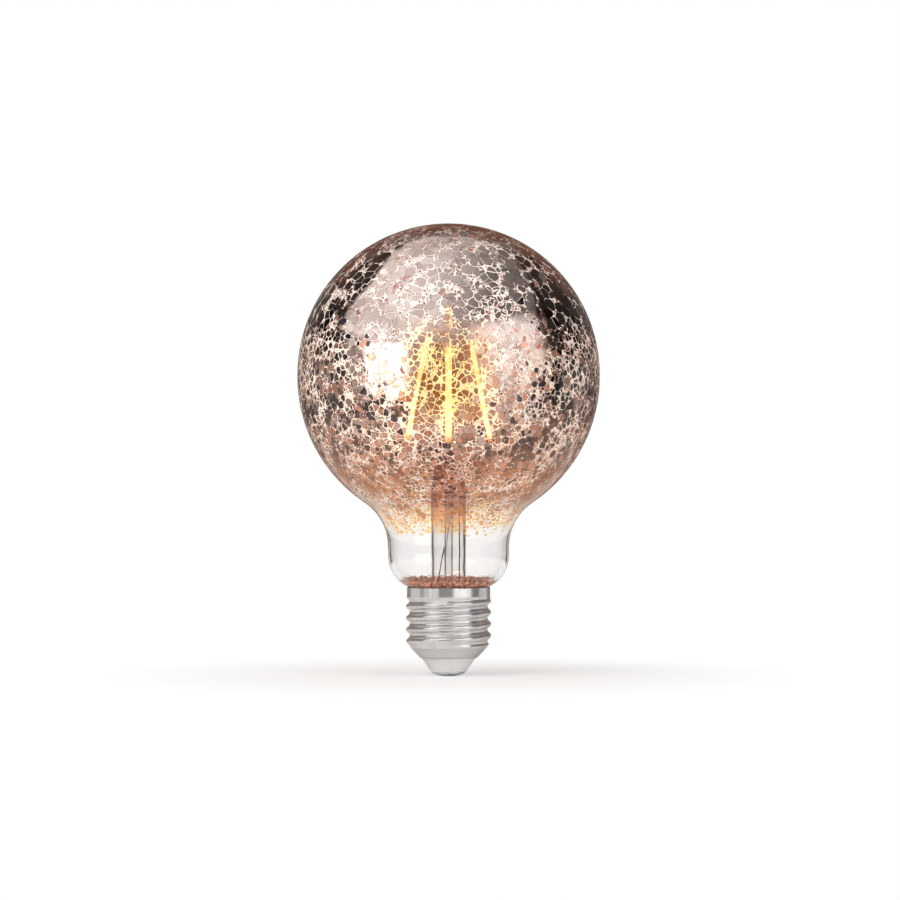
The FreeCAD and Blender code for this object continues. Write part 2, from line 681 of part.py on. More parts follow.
def make_cap_shell():
    """Thin sheet, rolled into a round right-hand thread. Both faces follow the same wave."""
    rolled = RolledSheet()
    inner_bottom = sheet.lip_z - sheet.sheet_wall * math.sin(math.radians(sheet.cone_angle))
    outer = rolled.face(0.0, sheet.lip_z)
    inner = rolled.face(sheet.sheet_wall, inner_bottom)
    faces = [outer, inner]
    for outside, inside in zip(ring_edges(outer), ring_edges(inner)):
        wires = [Part.Wire([outside]), Part.Wire([inside])]
        faces.append(Part.makeFace(wires, "Part::FaceMakerBullseye"))
    skin = Part.makeCompound(faces)
    skin.sewShape(1e-3)
    solid = Part.makeSolid(skin.Shells[0])
    if solid.Volume < 0:
        solid.reverse()
    new_feature("cap_shell", solid)
    return rolled


def make_cap_insulator():
    """Fills the lower end of the cap, clamped behind its lip, round the contact's eyelet."""
    turned("cap_insulator", [
        ("eyelet_radius", "contact_top_z"),
        ("contact_radius", "contact_top_z"),
        ("insulator_foot_radius", "insulator_foot_z"),
        ("insulator_neck_r", "lip_z"),
        ("insulator_top_r", "insulator_top_z"),
        ("eyelet_radius", "insulator_top_z"),
    ])


def make_centre_contact():
    """Domed disc with an eyelet that holds the contact wire."""
    dome = "((contact_radius - contact_flat)^2 + contact_rise^2) / (2 * contact_rise)"
    bore = "(eyelet_radius - eyelet_wall)"
    eyelet_top = "(insulator_top_z + eyelet_stand)"
    turned("centre_contact", [
        ("0", "0"),
        ("contact_flat", "0"),
        ("contact_radius", "contact_rise", dome, 1),
        ("contact_radius", "contact_top_z"),
        ("eyelet_radius", "contact_top_z"),
        ("eyelet_radius", eyelet_top),
        (bore, eyelet_top),
        (bore, "contact_top_z"),
        ("0", "contact_top_z"),
    ])


def make_capping_cement():
    """Ring between the glass skirt and the cap. It fills the collar and reaches into the thread."""
    cement_radius = "thread_bore - seal_gap"
    turned("capping_cement", [
        ("skirt_radius", "skirt_z"),
        ("skirt_radius", "skirt_z - cement_height"),
        (cement_radius, "skirt_z - cement_height"),
        (cement_radius, "thread_end_z"),
        ("collar_bore - seal_gap", "collar_end_z + sheet_wall"),
        ("collar_bore - seal_gap", "skirt_z"),
    ])


def shell_wire_corners(rolled):
    """Up through the board and out to the nearest root of the thread."""
    angle = math.radians(sheet.shell_wire_angle)
    outward = Vector(math.cos(angle), math.sin(angle), 0)
    pitch = sheet.thread_pitch
    root_z = sheet.first_crest_z + pitch * (angle / (2 * math.pi) + 0.5)
    while root_z < sheet.board_top_z + sheet.exhaust_radius:
        root_z += pitch
    reach = rolled.radius(root_z, angle) - sheet.sheet_wall - sheet.weld_gap
    hole = outward * sheet.shell_wire_reach
    return [
        hole + Vector(0, 0, sheet.board_z - sheet.wire_stub),
        hole + Vector(0, 0, root_z),
        outward * reach + Vector(0, 0, root_z),
    ]


def make_cap_wires(rolled):
    radius, bend = sheet.lead_radius, sheet.lead_bend
    new_feature("shell_wire", bent_wire(shell_wire_corners(rolled), radius, bend))
    top = Vector(0, 0, sheet.board_top_z + sheet.wire_stub)
    foot = Vector(0, 0, sheet.contact_top_z)
    new_feature("contact_wire", bent_wire([top, foot], radius, bend))


def make_circuit_board():
    body = new_body("circuit_board")
    outline = new_sketch(body, "board_outline", "XY_Plane")
    draw_circle(outline, "0", "0", "board_radius")
    pad(body, outline, "board", "board_thickness")
    hole = "lead_radius + wire_hole_gap"
    shell_hole_x = "shell_wire_reach * cos(shell_wire_angle)"
    shell_hole_y = "shell_wire_reach * sin(shell_wire_angle)"
    holes = [
        ("0", "0", hole),
        ("right_lead_x", "right_lead_y", hole),
        ("left_lead_low_x", "left_lead_low_y", hole),
        (shell_hole_x, shell_hole_y, hole),
        ("resistor_x", "resistor_length / 2 + 2 * lead_bend", hole),
        ("resistor_x", "-(resistor_length / 2 + 2 * lead_bend)", hole),
    ]
    drill(body, "wire_holes", "XY_Plane", "board_thickness", holes, "board_thickness")
    place(body, z="board_z")


def make_smoothing_capacitor():
    """Round can under the board, with a crimped groove near its foot."""
    groove = "capacitor_crimp"
    can = turned("smoothing_capacitor", [
        ("0", "0"),
        (f"capacitor_radius - {groove}", "0"),
        ("capacitor_radius", groove, groove, 1),
        ("capacitor_radius", f"capacitor_height - 4 * {groove}"),
        (f"capacitor_radius - {groove}", f"capacitor_height - 3 * {groove}", groove, -1),
        ("capacitor_radius", f"capacitor_height - 2 * {groove}", groove, -1),
        ("capacitor_radius", "capacitor_height"),
        ("0", "capacitor_height"),
    ])
    place(can, "capacitor_x", "capacitor_y", "board_z - capacitor_height")


def make_choke():
    """Drum core and its winding, under the board."""
    core = turned("choke_core", [
        ("0", "0"),
        ("choke_radius", "0"),
        ("choke_radius", "choke_flange"),
        ("choke_core_radius", "choke_flange"),
        ("choke_core_radius", "choke_height - choke_flange"),
        ("choke_radius", "choke_height - choke_flange"),
        ("choke_radius", "choke_height"),
        ("0", "choke_height"),
    ])
    winding = turned("choke_winding", [
        ("choke_core_radius", "choke_flange"),
        ("choke_winding_radius", "choke_flange"),
        ("choke_winding_radius", "choke_height - choke_flange"),
        ("choke_core_radius", "choke_height - choke_flange"),
    ])
    for part in (core, winding):
        place(part, "choke_x", "choke_y", "board_z - choke_height")


def make_fusible_resistor():
    """Waisted body that lies on the board, with one lead at each end."""
    shoulder = "resistor_length / 4"
    body = turned("fusible_resistor", [
        ("0", "-(resistor_length / 2)"),
        ("resistor_radius", "-(resistor_length / 2)"),
        ("resistor_radius", "-(resistor_length / 2 - resistor_radius)"),
        ("resistor_waist", f"-({shoulder} / 2)"),
        ("resistor_waist", f"{shoulder} / 2"),
        ("resistor_radius", "resistor_length / 2 - resistor_radius"),
        ("resistor_radius", "resistor_length / 2"),
        ("0", "resistor_length / 2"),
    ])
    lying = Rotation(Vector(1, 0, 0), 90)
    place(body, "resistor_x", "0", "board_top_z + resistor_radius + resistor_lift", lying)
    z = sheet.board_top_z + sheet.resistor_radius + sheet.resistor_lift
    for name, way in (("resistor_lead_back", 1), ("resistor_lead_front", -1)):
        end_y = way * sheet.resistor_length / 2
        hole_y = end_y + way * 2 * sheet.lead_bend
        corners = [
            Vector(sheet.resistor_x, end_y, z),
            Vector(sheet.resistor_x, hole_y, z),
            Vector(sheet.resistor_x, hole_y, sheet.board_z - sheet.wire_stub),
        ]
        new_feature(name, bent_wire(corners, sheet.lead_radius, sheet.lead_bend))


def make_chip(name, prefix, legs_per_side, y):
    """Moulded package with a row of bent legs along both long sides."""
    body = new_body(name)
    thickness = "chip_leg_thickness"
    length, width, height = (f"{prefix}_{word}" for word in ("length", "width", "height"))
    package = new_sketch(body, f"{name}_package_section", "XY_Plane", thickness)
    draw(package, [
        (f"{length} / 2", f"{width} / 2"),
        (f"-({length} / 2)", f"{width} / 2"),
        (f"-({length} / 2)", f"-({width} / 2)"),
        (f"{length} / 2", f"-({width} / 2)"),
    ])
    pad(body, package, f"{name}_package", f"{height} - {thickness}")
    first_leg = f"{length} / {2 * legs_per_side} - {length} / 2"
    legs = new_sketch(body, f"{name}_leg_section", "YZ_Plane", f"{first_leg}")
    middle_z = f"{prefix}_middle_z"
    for way in ("", "-"):
        near = f"{way}({width} / 2)"
        knee = f"{way}({width} / 2 + chip_leg_reach / 2)"
        shin = f"{way}({width} / 2 + chip_leg_reach / 2 - {thickness})"
        toe = f"{way}({width} / 2 + chip_leg_reach)"
        draw(legs, [
            (near, f"{middle_z} + {thickness}"),
            (knee, f"{middle_z} + {thickness}"),
            (knee, thickness),
            (toe, thickness),
            (toe, "0"),
            (shin, "0"),
            (shin, middle_z),
            (near, middle_z),
        ])
    leg_pair = pad(body, legs, f"{name}_legs", "chip_leg_width", both_ways=True)
    pattern = body.newObject("PartDesign::LinearPattern", f"{name}_leg_row")
    pattern.Originals = [leg_pair]
    pattern.Direction = (legs, ["N_Axis"])
    spacing = f"{length} / {legs_per_side}"
    pattern.setExpression("Length", bound(f"{spacing} * {legs_per_side - 1}"))
    pattern.Occurrences = legs_per_side
    body.Tip = pattern
    place(body, "0", y, "board_top_z")


def make_ceramic_capacitor():
    block = doc.addObject("Part::Box", "ceramic_capacitor")
    block.Label = "ceramic_capacitor"
    block.setExpression("Length", bound("ceramic_length"))
    block.setExpression("Width", bound("ceramic_width"))
    block.setExpression("Height", bound("ceramic_height"))
    parts.append(block)
    place(block, "ceramic_x - ceramic_length / 2", "ceramic_y - ceramic_width / 2", "board_top_z")


def check_document():
    """Stop at any failed object or broken shape."""
    for item in doc.Objects:
        if {"Invalid", "Error"} & set(item.State):
            raise RuntimeError(f"{item.Name} did not recompute: {item.State}")
    for part in parts:
        if part.Shape.isNull() or not part.Shape.isValid():
            raise RuntimeError(f"{part.Label} has no valid shape")


fill_sheet()
make_globe_envelope()
make_stem()
make_exhaust_tube()
make_glass_post()
for side, direction in SIDES:
    make_filament(side, direction)
make_support_wires()
make_lead_wires()
rolled_sheet = make_cap_shell()
make_cap_insulator()
make_centre_contact()
make_capping_cement()
make_circuit_board()
make_cap_wires(rolled_sheet)
make_smoothing_capacitor()
make_choke()
make_fusible_resistor()
make_chip("bridge_rectifier", "rectifier", 2, "rectifier_y")
make_chip("driver_chip", "driver", 4, "driver_y")
make_ceramic_capacitor()
doc.recompute()
check_document()
os.makedirs("parts", exist_ok=True)
for part in parts:
    part.Shape.exportStep(f"parts/{part.Label}.step")
    print(part.Label, round(part.Shape.Volume, 2), len(part.Shape.Solids))
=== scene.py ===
import json
import math
from collections import namedtuple
from types import SimpleNamespace

import bmesh
import bpy
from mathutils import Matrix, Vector

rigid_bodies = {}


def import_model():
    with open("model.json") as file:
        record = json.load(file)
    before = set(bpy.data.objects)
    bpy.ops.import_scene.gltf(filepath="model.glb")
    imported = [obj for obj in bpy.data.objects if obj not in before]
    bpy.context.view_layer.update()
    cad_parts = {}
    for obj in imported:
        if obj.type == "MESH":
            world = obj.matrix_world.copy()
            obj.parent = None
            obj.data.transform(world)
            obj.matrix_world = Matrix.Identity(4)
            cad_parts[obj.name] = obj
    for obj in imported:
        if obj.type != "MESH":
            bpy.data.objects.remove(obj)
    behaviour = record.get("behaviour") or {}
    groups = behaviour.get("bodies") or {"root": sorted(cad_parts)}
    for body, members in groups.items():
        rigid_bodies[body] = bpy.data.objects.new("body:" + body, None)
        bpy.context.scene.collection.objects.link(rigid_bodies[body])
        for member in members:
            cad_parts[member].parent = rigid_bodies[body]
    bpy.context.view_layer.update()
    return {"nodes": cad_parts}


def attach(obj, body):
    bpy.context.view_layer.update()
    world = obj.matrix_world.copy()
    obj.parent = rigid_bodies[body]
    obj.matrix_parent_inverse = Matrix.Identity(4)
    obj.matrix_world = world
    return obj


# The looks of a lit globe bulb with a crackled mirror film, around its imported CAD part.
# Lengths are metres in the scene and millimetres in the named sizes and inside the materials.
# A named pair is where a smooth change starts and where it ends.

MM = 0.001

# Sizes of the glass, as in the CAD part
GLOBE_RADIUS = 47.0
GLOBE_STRAIGHT = 0.7
SHOULDER_BEND = 16.4
NECK_RADIUS = 18.8
NECK_STRAIGHT = 2.67
BASE_BEND = 10.9
GLASS_WALL = 0.8
RIM_Z = 27.5
RIM_GLASS_RADIUS = 12.24

# Heights that follow from them
BASE_CENTRE_R = NECK_RADIUS - BASE_BEND
NECK_END_Z = RIM_Z + math.sqrt(BASE_BEND**2 - (RIM_GLASS_RADIUS - BASE_CENTRE_R) ** 2)
SHOULDER_Z = NECK_END_Z + NECK_STRAIGHT
SHOULDER_CENTRE_R = NECK_RADIUS + SHOULDER_BEND
SHOULDER_REACH = GLOBE_RADIUS + SHOULDER_BEND
LOWER_CENTRE_Z = SHOULDER_Z + math.sqrt(SHOULDER_REACH**2 - SHOULDER_CENTRE_R**2)
UPPER_CENTRE_Z = LOWER_CENTRE_Z + GLOBE_STRAIGHT

# The film's mesh
FILM_DEPTH = 0.04
FILM_END_Z = 28.0
FILM_TURNS = 192
UPPER_STEPS = 60
LOWER_STEPS = 36
SHOULDER_STEPS = 20
BASE_STEPS = 24
POLE_RADIUS = 0.001

# The camera
CAMERA_DISTANCE = 1200.0
CAMERA_RIGHT = 0.44
CAMERA_Z = 70.2
VIEW_WIDTH = 279.9
SENSOR_WIDTH = 36.0

# The lamps and the floor
KEY_PLACE = (-700, -900, 900)
FILL_PLACE = (900, -700, 500)
LAMP_TARGET = (0, 0, 60)
FLOOR_SIZE = 640.0
FLOOR_GRAIN = 40.0
FLOOR_WHITENS = (20.0, 120.0)
FLOOR_LEAST_WHITE = 0.55
FLOOR_FADES = (220.0, 320.0)


class Graph:
    """A node tree, filled one node at a time."""

    def __init__(self, tree):
        self.tree = tree
        self.tree.nodes.clear()

    def feed(self, socket, value):
        if isinstance(value, bpy.types.NodeSocket):
            self.tree.links.new(value, socket)
        else:
            socket.default_value = value

    def add(self, kind, inputs=None, **settings):
        node = self.tree.nodes.new("ShaderNode" + kind)
        for name, setting in settings.items():
            setattr(node, name, setting)
        for name, value in (inputs or {}).items():
            self.feed(node.inputs[name], value)
        return node

    def math(self, operation, a, b=0.0):
        node = self.tree.nodes.new("ShaderNodeMath")
        node.operation = operation
        self.feed(node.inputs[0], a)
        self.feed(node.inputs[1], b)
        return node.outputs[0]

    def times(self, a, b):
        return self.math("MULTIPLY", a, b)

    def plus(self, a, b):
        return self.math("ADD", a, b)

    def minus(self, a, b):
        return self.math("SUBTRACT", a, b)

    def larger(self, a, b):
        return self.math("MAXIMUM", a, b)

    def smaller(self, a, b):
        return self.math("MINIMUM", a, b)

    def rise(self, value, low, high, to_low=0.0, to_high=1.0):
        """A smooth step: to_low at low and to_high at high, which may also lie below low."""
        node = self.add("MapRange", interpolation_type="SMOOTHSTEP")
        self.feed(node.inputs["Value"], value)
        self.feed(node.inputs["From Min"], low)
        self.feed(node.inputs["From Max"], high)
        self.feed(node.inputs["To Min"], to_low)
        self.feed(node.inputs["To Max"], to_high)
        return node.outputs["Result"]

    def blend(self, factor, a, b):
        """Colour a where factor is 0 and b where it is 1."""
        node = self.add("Mix", data_type="RGBA")
        first, second = [socket for socket in node.inputs if socket.type == "RGBA"]
        self.feed(node.inputs["Factor"], factor)
        self.feed(first, a)
        self.feed(second, b)
        return next(socket for socket in node.outputs if socket.type == "RGBA")

    def mixed(self, factor, a, b):
        """Shader a where factor is 0 and b where it is 1."""
        node = self.tree.nodes.new("ShaderNodeMixShader")
        self.feed(node.inputs[0], factor)
        self.tree.links.new(a, node.inputs[1])
        self.tree.links.new(b, node.inputs[2])
        return node.outputs[0]

    def moved(self, vector, offset):
        node = self.add("VectorMath", operation="ADD")
        self.feed(node.inputs[0], vector)
        self.feed(node.inputs[1], offset)
        return node.outputs["Vector"]

    def scaled(self, vector, factors):
        node = self.add("VectorMath", operation="MULTIPLY")
        self.feed(node.inputs[0], vector)
        self.feed(node.inputs[1], factors)
        return node.outputs["Vector"]

    def place(self):
        """Position on the object in millimetres."""
        position = self.add("TexCoord").outputs["Object"]
        return self.scaled(position, (1 / MM, 1 / MM, 1 / MM))

    def noise(self, vector, size, detail=2.0, output="Fac"):
        """Smooth noise with features of this size in millimetres."""
        node = self.add("TexNoise", {"Vector": vector, "Scale": 1 / size, "Detail": detail})
        return node.outputs[output]

    def parts(self, vector):
        return self.add("SeparateXYZ", {"Vector": vector}).outputs

    def bump(self, height, distance):
        inputs = {"Height": height, "Distance": distance * MM, "Strength": 1.0}
        return self.add("Bump", inputs).outputs["Normal"]

    def finish(self, shader, kind="OutputMaterial"):
        output = self.add(kind)
        self.tree.links.new(shader, output.inputs["Surface"])


def new_material(name):
    material = bpy.data.materials.new(name)
    material.use_nodes = True
    return material, Graph(material.node_tree)


def grey(level):
    return (level, level, level, 1.0)


# Glass: how it ripples, how it is tinted, and the heights where its tint and its coat begin
RIPPLE_SIZE = 9.0
RIPPLE_DEPTH = 0.05
GLOBE_IOR = 1.48
STEM_IOR = 1.5
GLOBE_TINT = (46.0, 58.0)
GLOBE_COAT = (50.0, 53.0)
STEM_TINT = (43.0, 52.0)
PRESS_TINT = (60.0, 62.0)
CLEAR = (1.0, 0.995, 0.99, 1.0)
TONED = (0.985, 0.965, 0.95, 1.0)
AMBER_GLASS = (0.90, 0.68, 0.48, 1.0)
PRESS_BROWN = (0.70, 0.44, 0.29, 1.0)


def glass(name, colour, tinted, tint, ior, coated=None, press=None):
    """Clear glass, tinted higher up, that lets the light of lamps straight through.
    Where it is coated, what the film mirrors goes straight through as well."""
    material, graph = new_material(name)
    place = graph.place()
    height = graph.parts(place)["Z"]
    colour = graph.blend(graph.rise(height, *tint), colour, tinted)
    if press:
        colour = graph.blend(graph.rise(height, *PRESS_TINT), colour, press)
    waves = graph.bump(graph.noise(place, RIPPLE_SIZE, detail=1.0), RIPPLE_DEPTH)
    inputs = {"Color": colour, "Roughness": 0.0, "IOR": ior, "Normal": waves}
    solid = graph.add("BsdfGlass", inputs)
    through = graph.add("BsdfTransparent")
    path = graph.add("LightPath").outputs
    straight = graph.larger(path["Is Shadow Ray"], path["Is Diffuse Ray"])
    if coated:
        mirrored = graph.times(path["Is Reflection Ray"], graph.rise(height, *coated))
        straight = graph.larger(straight, mirrored)
    graph.finish(graph.mixed(straight, solid.outputs[0], through.outputs[0]))
    return material


# Heights of the film's zones, and the noise that makes their edges ragged
OPEN_NET = (107.0, 108.5)
DENSE_NET = (65.0, 64.0)
COPPER_ZONE = (106.0, 76.0)
ORANGE_ZONE = (72.0, 58.0)
AMBER_ZONE = (55.0, 48.0)
RAGGED_SIZE = 5.0
RAGGED_REACH = 20.0

# Nets of cracks: the size of their cells, and how far a rounded cell reaches as a share of it
COARSE_CELL = 3.2
MIDDLE_CELL = 2.05
SMALL_CELL = 1.35
FINE_CELL = 0.85
OPEN_REACH = 0.69
CLOSE_REACH = 0.73

# Noise that bends the cells, as its size and how far it moves them
LONG_BEND = (2.6, 1.5)
SHORT_BEND = (0.7, 0.45)
SLIGHT_BEND = (1.0, 0.7)

# Calm patches, which have the wide net alone: their size, and the noise above which one starts
UPPER_CALM_SIZE = 5.0
UPPER_CALM_LEVEL = 0.50
BARE_CALMS_MORE = 0.12
LOWER_CALM_SIZE = 4.0
LOWER_CALM_LEVEL = 0.44
CALM_EDGE = 0.03

# Specks in the gaps where cracks meet: which of them show, and how far they keep from the cells
SPECKS_SHOWN = (0.18, 0.20)
SPECK_CLEARANCE = 0.05
SPECK_EDGE = (0.0, 0.02)

# More than any cell's depth, so that a net or a speck this far off is hidden
HIDDEN_DEPTH = 3.0


def round_cells(graph, vector, size, reach):
    """Depth inside rounded cells of this size in millimetres, and three random numbers for each.
    The depth is zero on the cracks and below zero in the gaps where cracks meet."""
    inputs = {"Vector": vector, "Scale": 1 / size}
    edges = graph.add("TexVoronoi", inputs, feature="DISTANCE_TO_EDGE")
    seeds = graph.add("TexVoronoi", inputs, feature="F1")
    from_edge = graph.times(edges.outputs["Distance"], size)
    from_rim = graph.times(graph.minus(reach, seeds.outputs["Distance"]), size)
    return graph.smaller(from_edge, from_rim), seeds.outputs["Color"]


def bent_place(graph, place, size, reach):
    """The place, moved about by noise of this size, by up to half the reach."""
    noise = graph.moved(graph.noise(place, size, output="Color"), (-0.5, -0.5, -0.5))
    return graph.moved(place, graph.scaled(noise, (reach, reach, reach)))


def zone(graph, height, ragged, band):
    """Zero at the height where the band starts and one where it ends, with a ragged edge."""
    return graph.rise(graph.plus(height, ragged), *band)


def two_nets(graph, place, calm_size, calm_level, wide, narrow):
    """Cracks of the wide net everywhere, and of the narrow net too outside the calm patches."""
    wide_depth, wide_lot = wide
    narrow_depth, narrow_lot = narrow
    noise = graph.noise(place, calm_size)
    calm = graph.rise(graph.minus(noise, calm_level), -CALM_EDGE, CALM_EDGE)
    narrow_depth = graph.plus(narrow_depth, graph.times(calm, HIDDEN_DEPTH))
    return graph.smaller(wide_depth, narrow_depth), graph.blend(calm, narrow_lot, wide_lot)


def net_of_cells(graph, field, slightly_bent):
    """Depth inside the cells and a lot for each: wide nets above, a dense one low down."""
    place = field.place
    bent = bent_place(graph, bent_place(graph, place, *LONG_BEND), *SHORT_BEND)
    coarse = round_cells(graph, bent, COARSE_CELL, OPEN_REACH)
    middle = round_cells(graph, bent, MIDDLE_CELL, OPEN_REACH)
    small = round_cells(graph, slightly_bent, SMALL_CELL, CLOSE_REACH)
    upper_level = graph.minus(UPPER_CALM_LEVEL, graph.times(field.bare, BARE_CALMS_MORE))
    upper = two_nets(graph, place, UPPER_CALM_SIZE, upper_level, coarse, middle)
    lower = two_nets(graph, place, LOWER_CALM_SIZE, LOWER_CALM_LEVEL, middle, small)
    above = zone(graph, field.height, field.ragged, OPEN_NET)
    below = zone(graph, field.height, field.ragged, DENSE_NET)
    nets = zip(lower, upper, small)
    return [graph.blend(below, graph.blend(above, low, high), dense) for low, high, dense in nets]


def add_cells(graph, field):
    """Adds the depth inside cells and specks, the share of specks and the cell's random lot."""
    slightly_bent = bent_place(graph, field.place, *SLIGHT_BEND)
    net, lot = net_of_cells(graph, field, slightly_bent)
    fine, fine_lot = round_cells(graph, slightly_bent, FINE_CELL, CLOSE_REACH)
    shown = graph.rise(graph.parts(fine_lot)["X"], *SPECKS_SHOWN)
    speck = graph.minus(fine, graph.times(graph.minus(1.0, shown), HIDDEN_DEPTH))
    room = graph.minus(graph.times(net, -1.0), SPECK_CLEARANCE)
    field.depth = graph.larger(net, graph.smaller(speck, room))
    field.speck = graph.rise(room, *SPECK_EDGE)
    field.lot = graph.parts(lot)


# How far from the middle the copper zone climbs, and by how much
SIDE_BAND = (18.0, 36.0)
SIDE_CLIMB = 12.0

# Lots that make a cell copper, and how much the copper zone adds to a cell's lot
COPPER_LOTS = (0.95, 0.99)
COPPER_MORE_LOW = 0.60

# Bare patches high on both sides, with few cracks
BARE_RIGHT = (15.0, 23.0)
BARE_LEFT = (-15.0, -23.0)
BARE_LEFT_SHARE = 0.4
BARE_HEIGHT = (102.0, 110.0)

# Islands of dark cells: more of them low down and aside
ISLAND_SIZE = 6.0
ISLAND_LEVEL = (0.61, 0.64)
ISLAND_FOOT = (58.0, 62.0)
ISLAND_TOP = (94.0, 86.0)
MORE_ASIDE = (12.0, 24.0)
MORE_LOW = (74.0, 69.0)
MORE_ISLANDS = 0.09

# Painted glow of the lit strips: warm colour painted on the film before and behind the strips, and
# its tongue above them
PAINTED_GLOW_FOOT = (73.0, 84.0)
PAINTED_GLOW_TOP = (113.0, 98.0)
PAINTED_GLOW_SIDES = (17.0, 6.0)
TONGUE_TIP_Z = 115.0
TONGUE_SLOPE = 0.25
TONGUE_EDGE = (0.6, -0.6)
TONGUE_FOOT = (96.0, 104.0)
TONGUE_SHARE = 0.75

# Brown flecks that fringe the film's lower end, drawn out along the axis
FLECK_SIZE = 0.75
FLECK_STRETCH = (1.0, 1.0, 0.35)
FRINGE_WAVER = 3.2
FRINGE_TOP = (31.75, 31.6)

# Patches in which the cracks are wider or narrower
PATCH_SIZE = 7.0


def bare_patches(graph, field, across):
    right = graph.rise(across, *BARE_RIGHT)
    left = graph.rise(across, *BARE_LEFT, 0.0, BARE_LEFT_SHARE)
    return graph.times(graph.plus(right, left), graph.rise(field.height, *BARE_HEIGHT))


def dark_islands(graph, field):
    aside = graph.rise(field.aside, *MORE_ASIDE)
    more = graph.larger(aside, graph.rise(field.height, *MORE_LOW))
    level = graph.plus(graph.noise(field.place, ISLAND_SIZE), graph.times(more, MORE_ISLANDS))
    foot = graph.rise(field.height, *ISLAND_FOOT)
    band = graph.times(foot, graph.rise(field.height, *ISLAND_TOP))
    return graph.times(graph.rise(level, *ISLAND_LEVEL), band)


def glow_stain(graph, field):
    """Painted glow of the strips: one before and behind them, where the film is painted warmest,
    falling to zero.
    """
    height = field.height
    level = graph.times(graph.rise(height, *PAINTED_GLOW_FOOT), graph.rise(height, *PAINTED_GLOW_TOP))
    half_width = graph.times(graph.minus(TONGUE_TIP_Z, height), TONGUE_SLOPE)
    tongue = graph.rise(graph.minus(field.aside, half_width), *TONGUE_EDGE)
    tongue = graph.times(tongue, graph.rise(height, *TONGUE_FOOT, 0.0, TONGUE_SHARE))
    stain = graph.times(graph.rise(field.aside, *PAINTED_GLOW_SIDES), level)
    return graph.larger(stain, tongue)


def add_zones(graph, field):
    """Adds the zones by height: low for copper and below, then orange, then amber."""
    lowered = graph.minus(field.height, field.to_side)
    field.low = zone(graph, lowered, field.ragged, COPPER_ZONE)
    field.orange = zone(graph, field.height, field.ragged, ORANGE_ZONE)
    field.amber = zone(graph, field.height, field.ragged, AMBER_ZONE)


def add_sides(graph, field):
    """Adds where a ray meets the film's inner face: inside above, and far_low where it is orange."""
    back = graph.add("NewGeometry").outputs["Backfacing"]
    field.inside = graph.times(back, graph.minus(1.0, field.orange))
    field.far_low = graph.times(back, field.orange)


def film_field(graph):
    """What varies over the film. Shares and zones go from 0 to 1."""
    field = SimpleNamespace(place=graph.place())
    parts = graph.parts(field.place)
    field.height = parts["Z"]
    field.aside = graph.math("ABSOLUTE", parts["X"])
    field.to_side = graph.rise(field.aside, *SIDE_BAND, 0.0, SIDE_CLIMB)
    noise = graph.noise(field.place, RAGGED_SIZE, detail=3.0)
    field.ragged = graph.times(graph.minus(noise, 0.5), RAGGED_REACH)
    field.patch = graph.noise(field.place, PATCH_SIZE, detail=4.0)
    field.flecks = graph.noise(graph.scaled(field.place, FLECK_STRETCH), FLECK_SIZE)
    waver = graph.times(field.flecks, FRINGE_WAVER)
    field.fringe = graph.rise(graph.plus(waver, field.height), *FRINGE_TOP)
    field.bare = bare_patches(graph, field, parts["X"])
    field.islands = dark_islands(graph, field)
    # Painted glow: where the film is coloured warm to stand for the strips' light
    field.stain = glow_stain(graph, field)
    add_zones(graph, field)
    add_sides(graph, field)
    add_cells(graph, field)
    more_copper = graph.times(field.low, COPPER_MORE_LOW)
    field.copper = graph.rise(graph.plus(field.lot["Y"], more_copper), *COPPER_LOTS)
    return field


# The film's colours
SILVER_DARK = (0.48, 0.38, 0.35, 1.0)
SILVER_LIGHT = (0.72, 0.62, 0.58, 1.0)
TARNISH_DARK = (0.50, 0.33, 0.27, 1.0)
TARNISH_LIGHT = (0.78, 0.58, 0.49, 1.0)
COPPER_DARK = (0.44, 0.16, 0.09, 1.0)
COPPER_LIGHT = (0.76, 0.38, 0.25, 1.0)
RING_BROWN = (0.09, 0.035, 0.03, 1.0)
SPECK_RED = (0.36, 0.13, 0.11, 1.0)
DARK_SPOT = (0.035, 0.03, 0.04, 1.0)
# Painted glow: the orange the cells take before and behind the lit strips
PAINTED_GLOW_ORANGE = (0.50, 0.17, 0.05, 1.0)
ORANGE_DARK = (0.42, 0.12, 0.05, 1.0)
ORANGE_LIGHT = (0.78, 0.33, 0.14, 1.0)
AMBER_DARK = (0.74, 0.26, 0.05, 1.0)
AMBER_LIGHT = (0.98, 0.66, 0.20, 1.0)
FRINGE_DARK = (0.18, 0.045, 0.02, 1.0)
FRINGE_LIGHT = (0.80, 0.34, 0.18, 1.0)
FILM_BACK = (0.16, 0.11, 0.09, 1.0)

# Colours that show through the film
SEEN_BROWN = (0.90, 0.62, 0.46, 1.0)
SEEN_ORANGE = (1.0, 0.50, 0.20, 1.0)
SEEN_AMBER = (1.0, 0.68, 0.26, 1.0)
SEEN_PALE = (0.97, 0.88, 0.80, 1.0)

# Lots that make a cell dark, and what adds to a cell's lot
DARK_LOTS = (0.99, 1.01)
DARK_MORE_LOW = 0.20
DARK_MORE_ASIDE = 0.013
DARK_IN_ISLANDS = 0.55
ORANGE_RING_LOTS = (0.72, 0.74)

# How strongly tarnish, specks, the painted glow of the strips and the flecks colour the film
TARNISHES = (0.0, 0.6)
SPECK_SHARE = 0.9
PAINTED_GLOW_LEAST = 0.45
FLECK_TONES = (0.40, 0.60)

# Depth of a cell's dark rim, and how much of the cell's own colour the rim keeps
RIM_DEPTH = (0.06, 0.32)
RIM_KEEPS = 0.60
RIM_KEEPS_LESS_LOW = 0.50


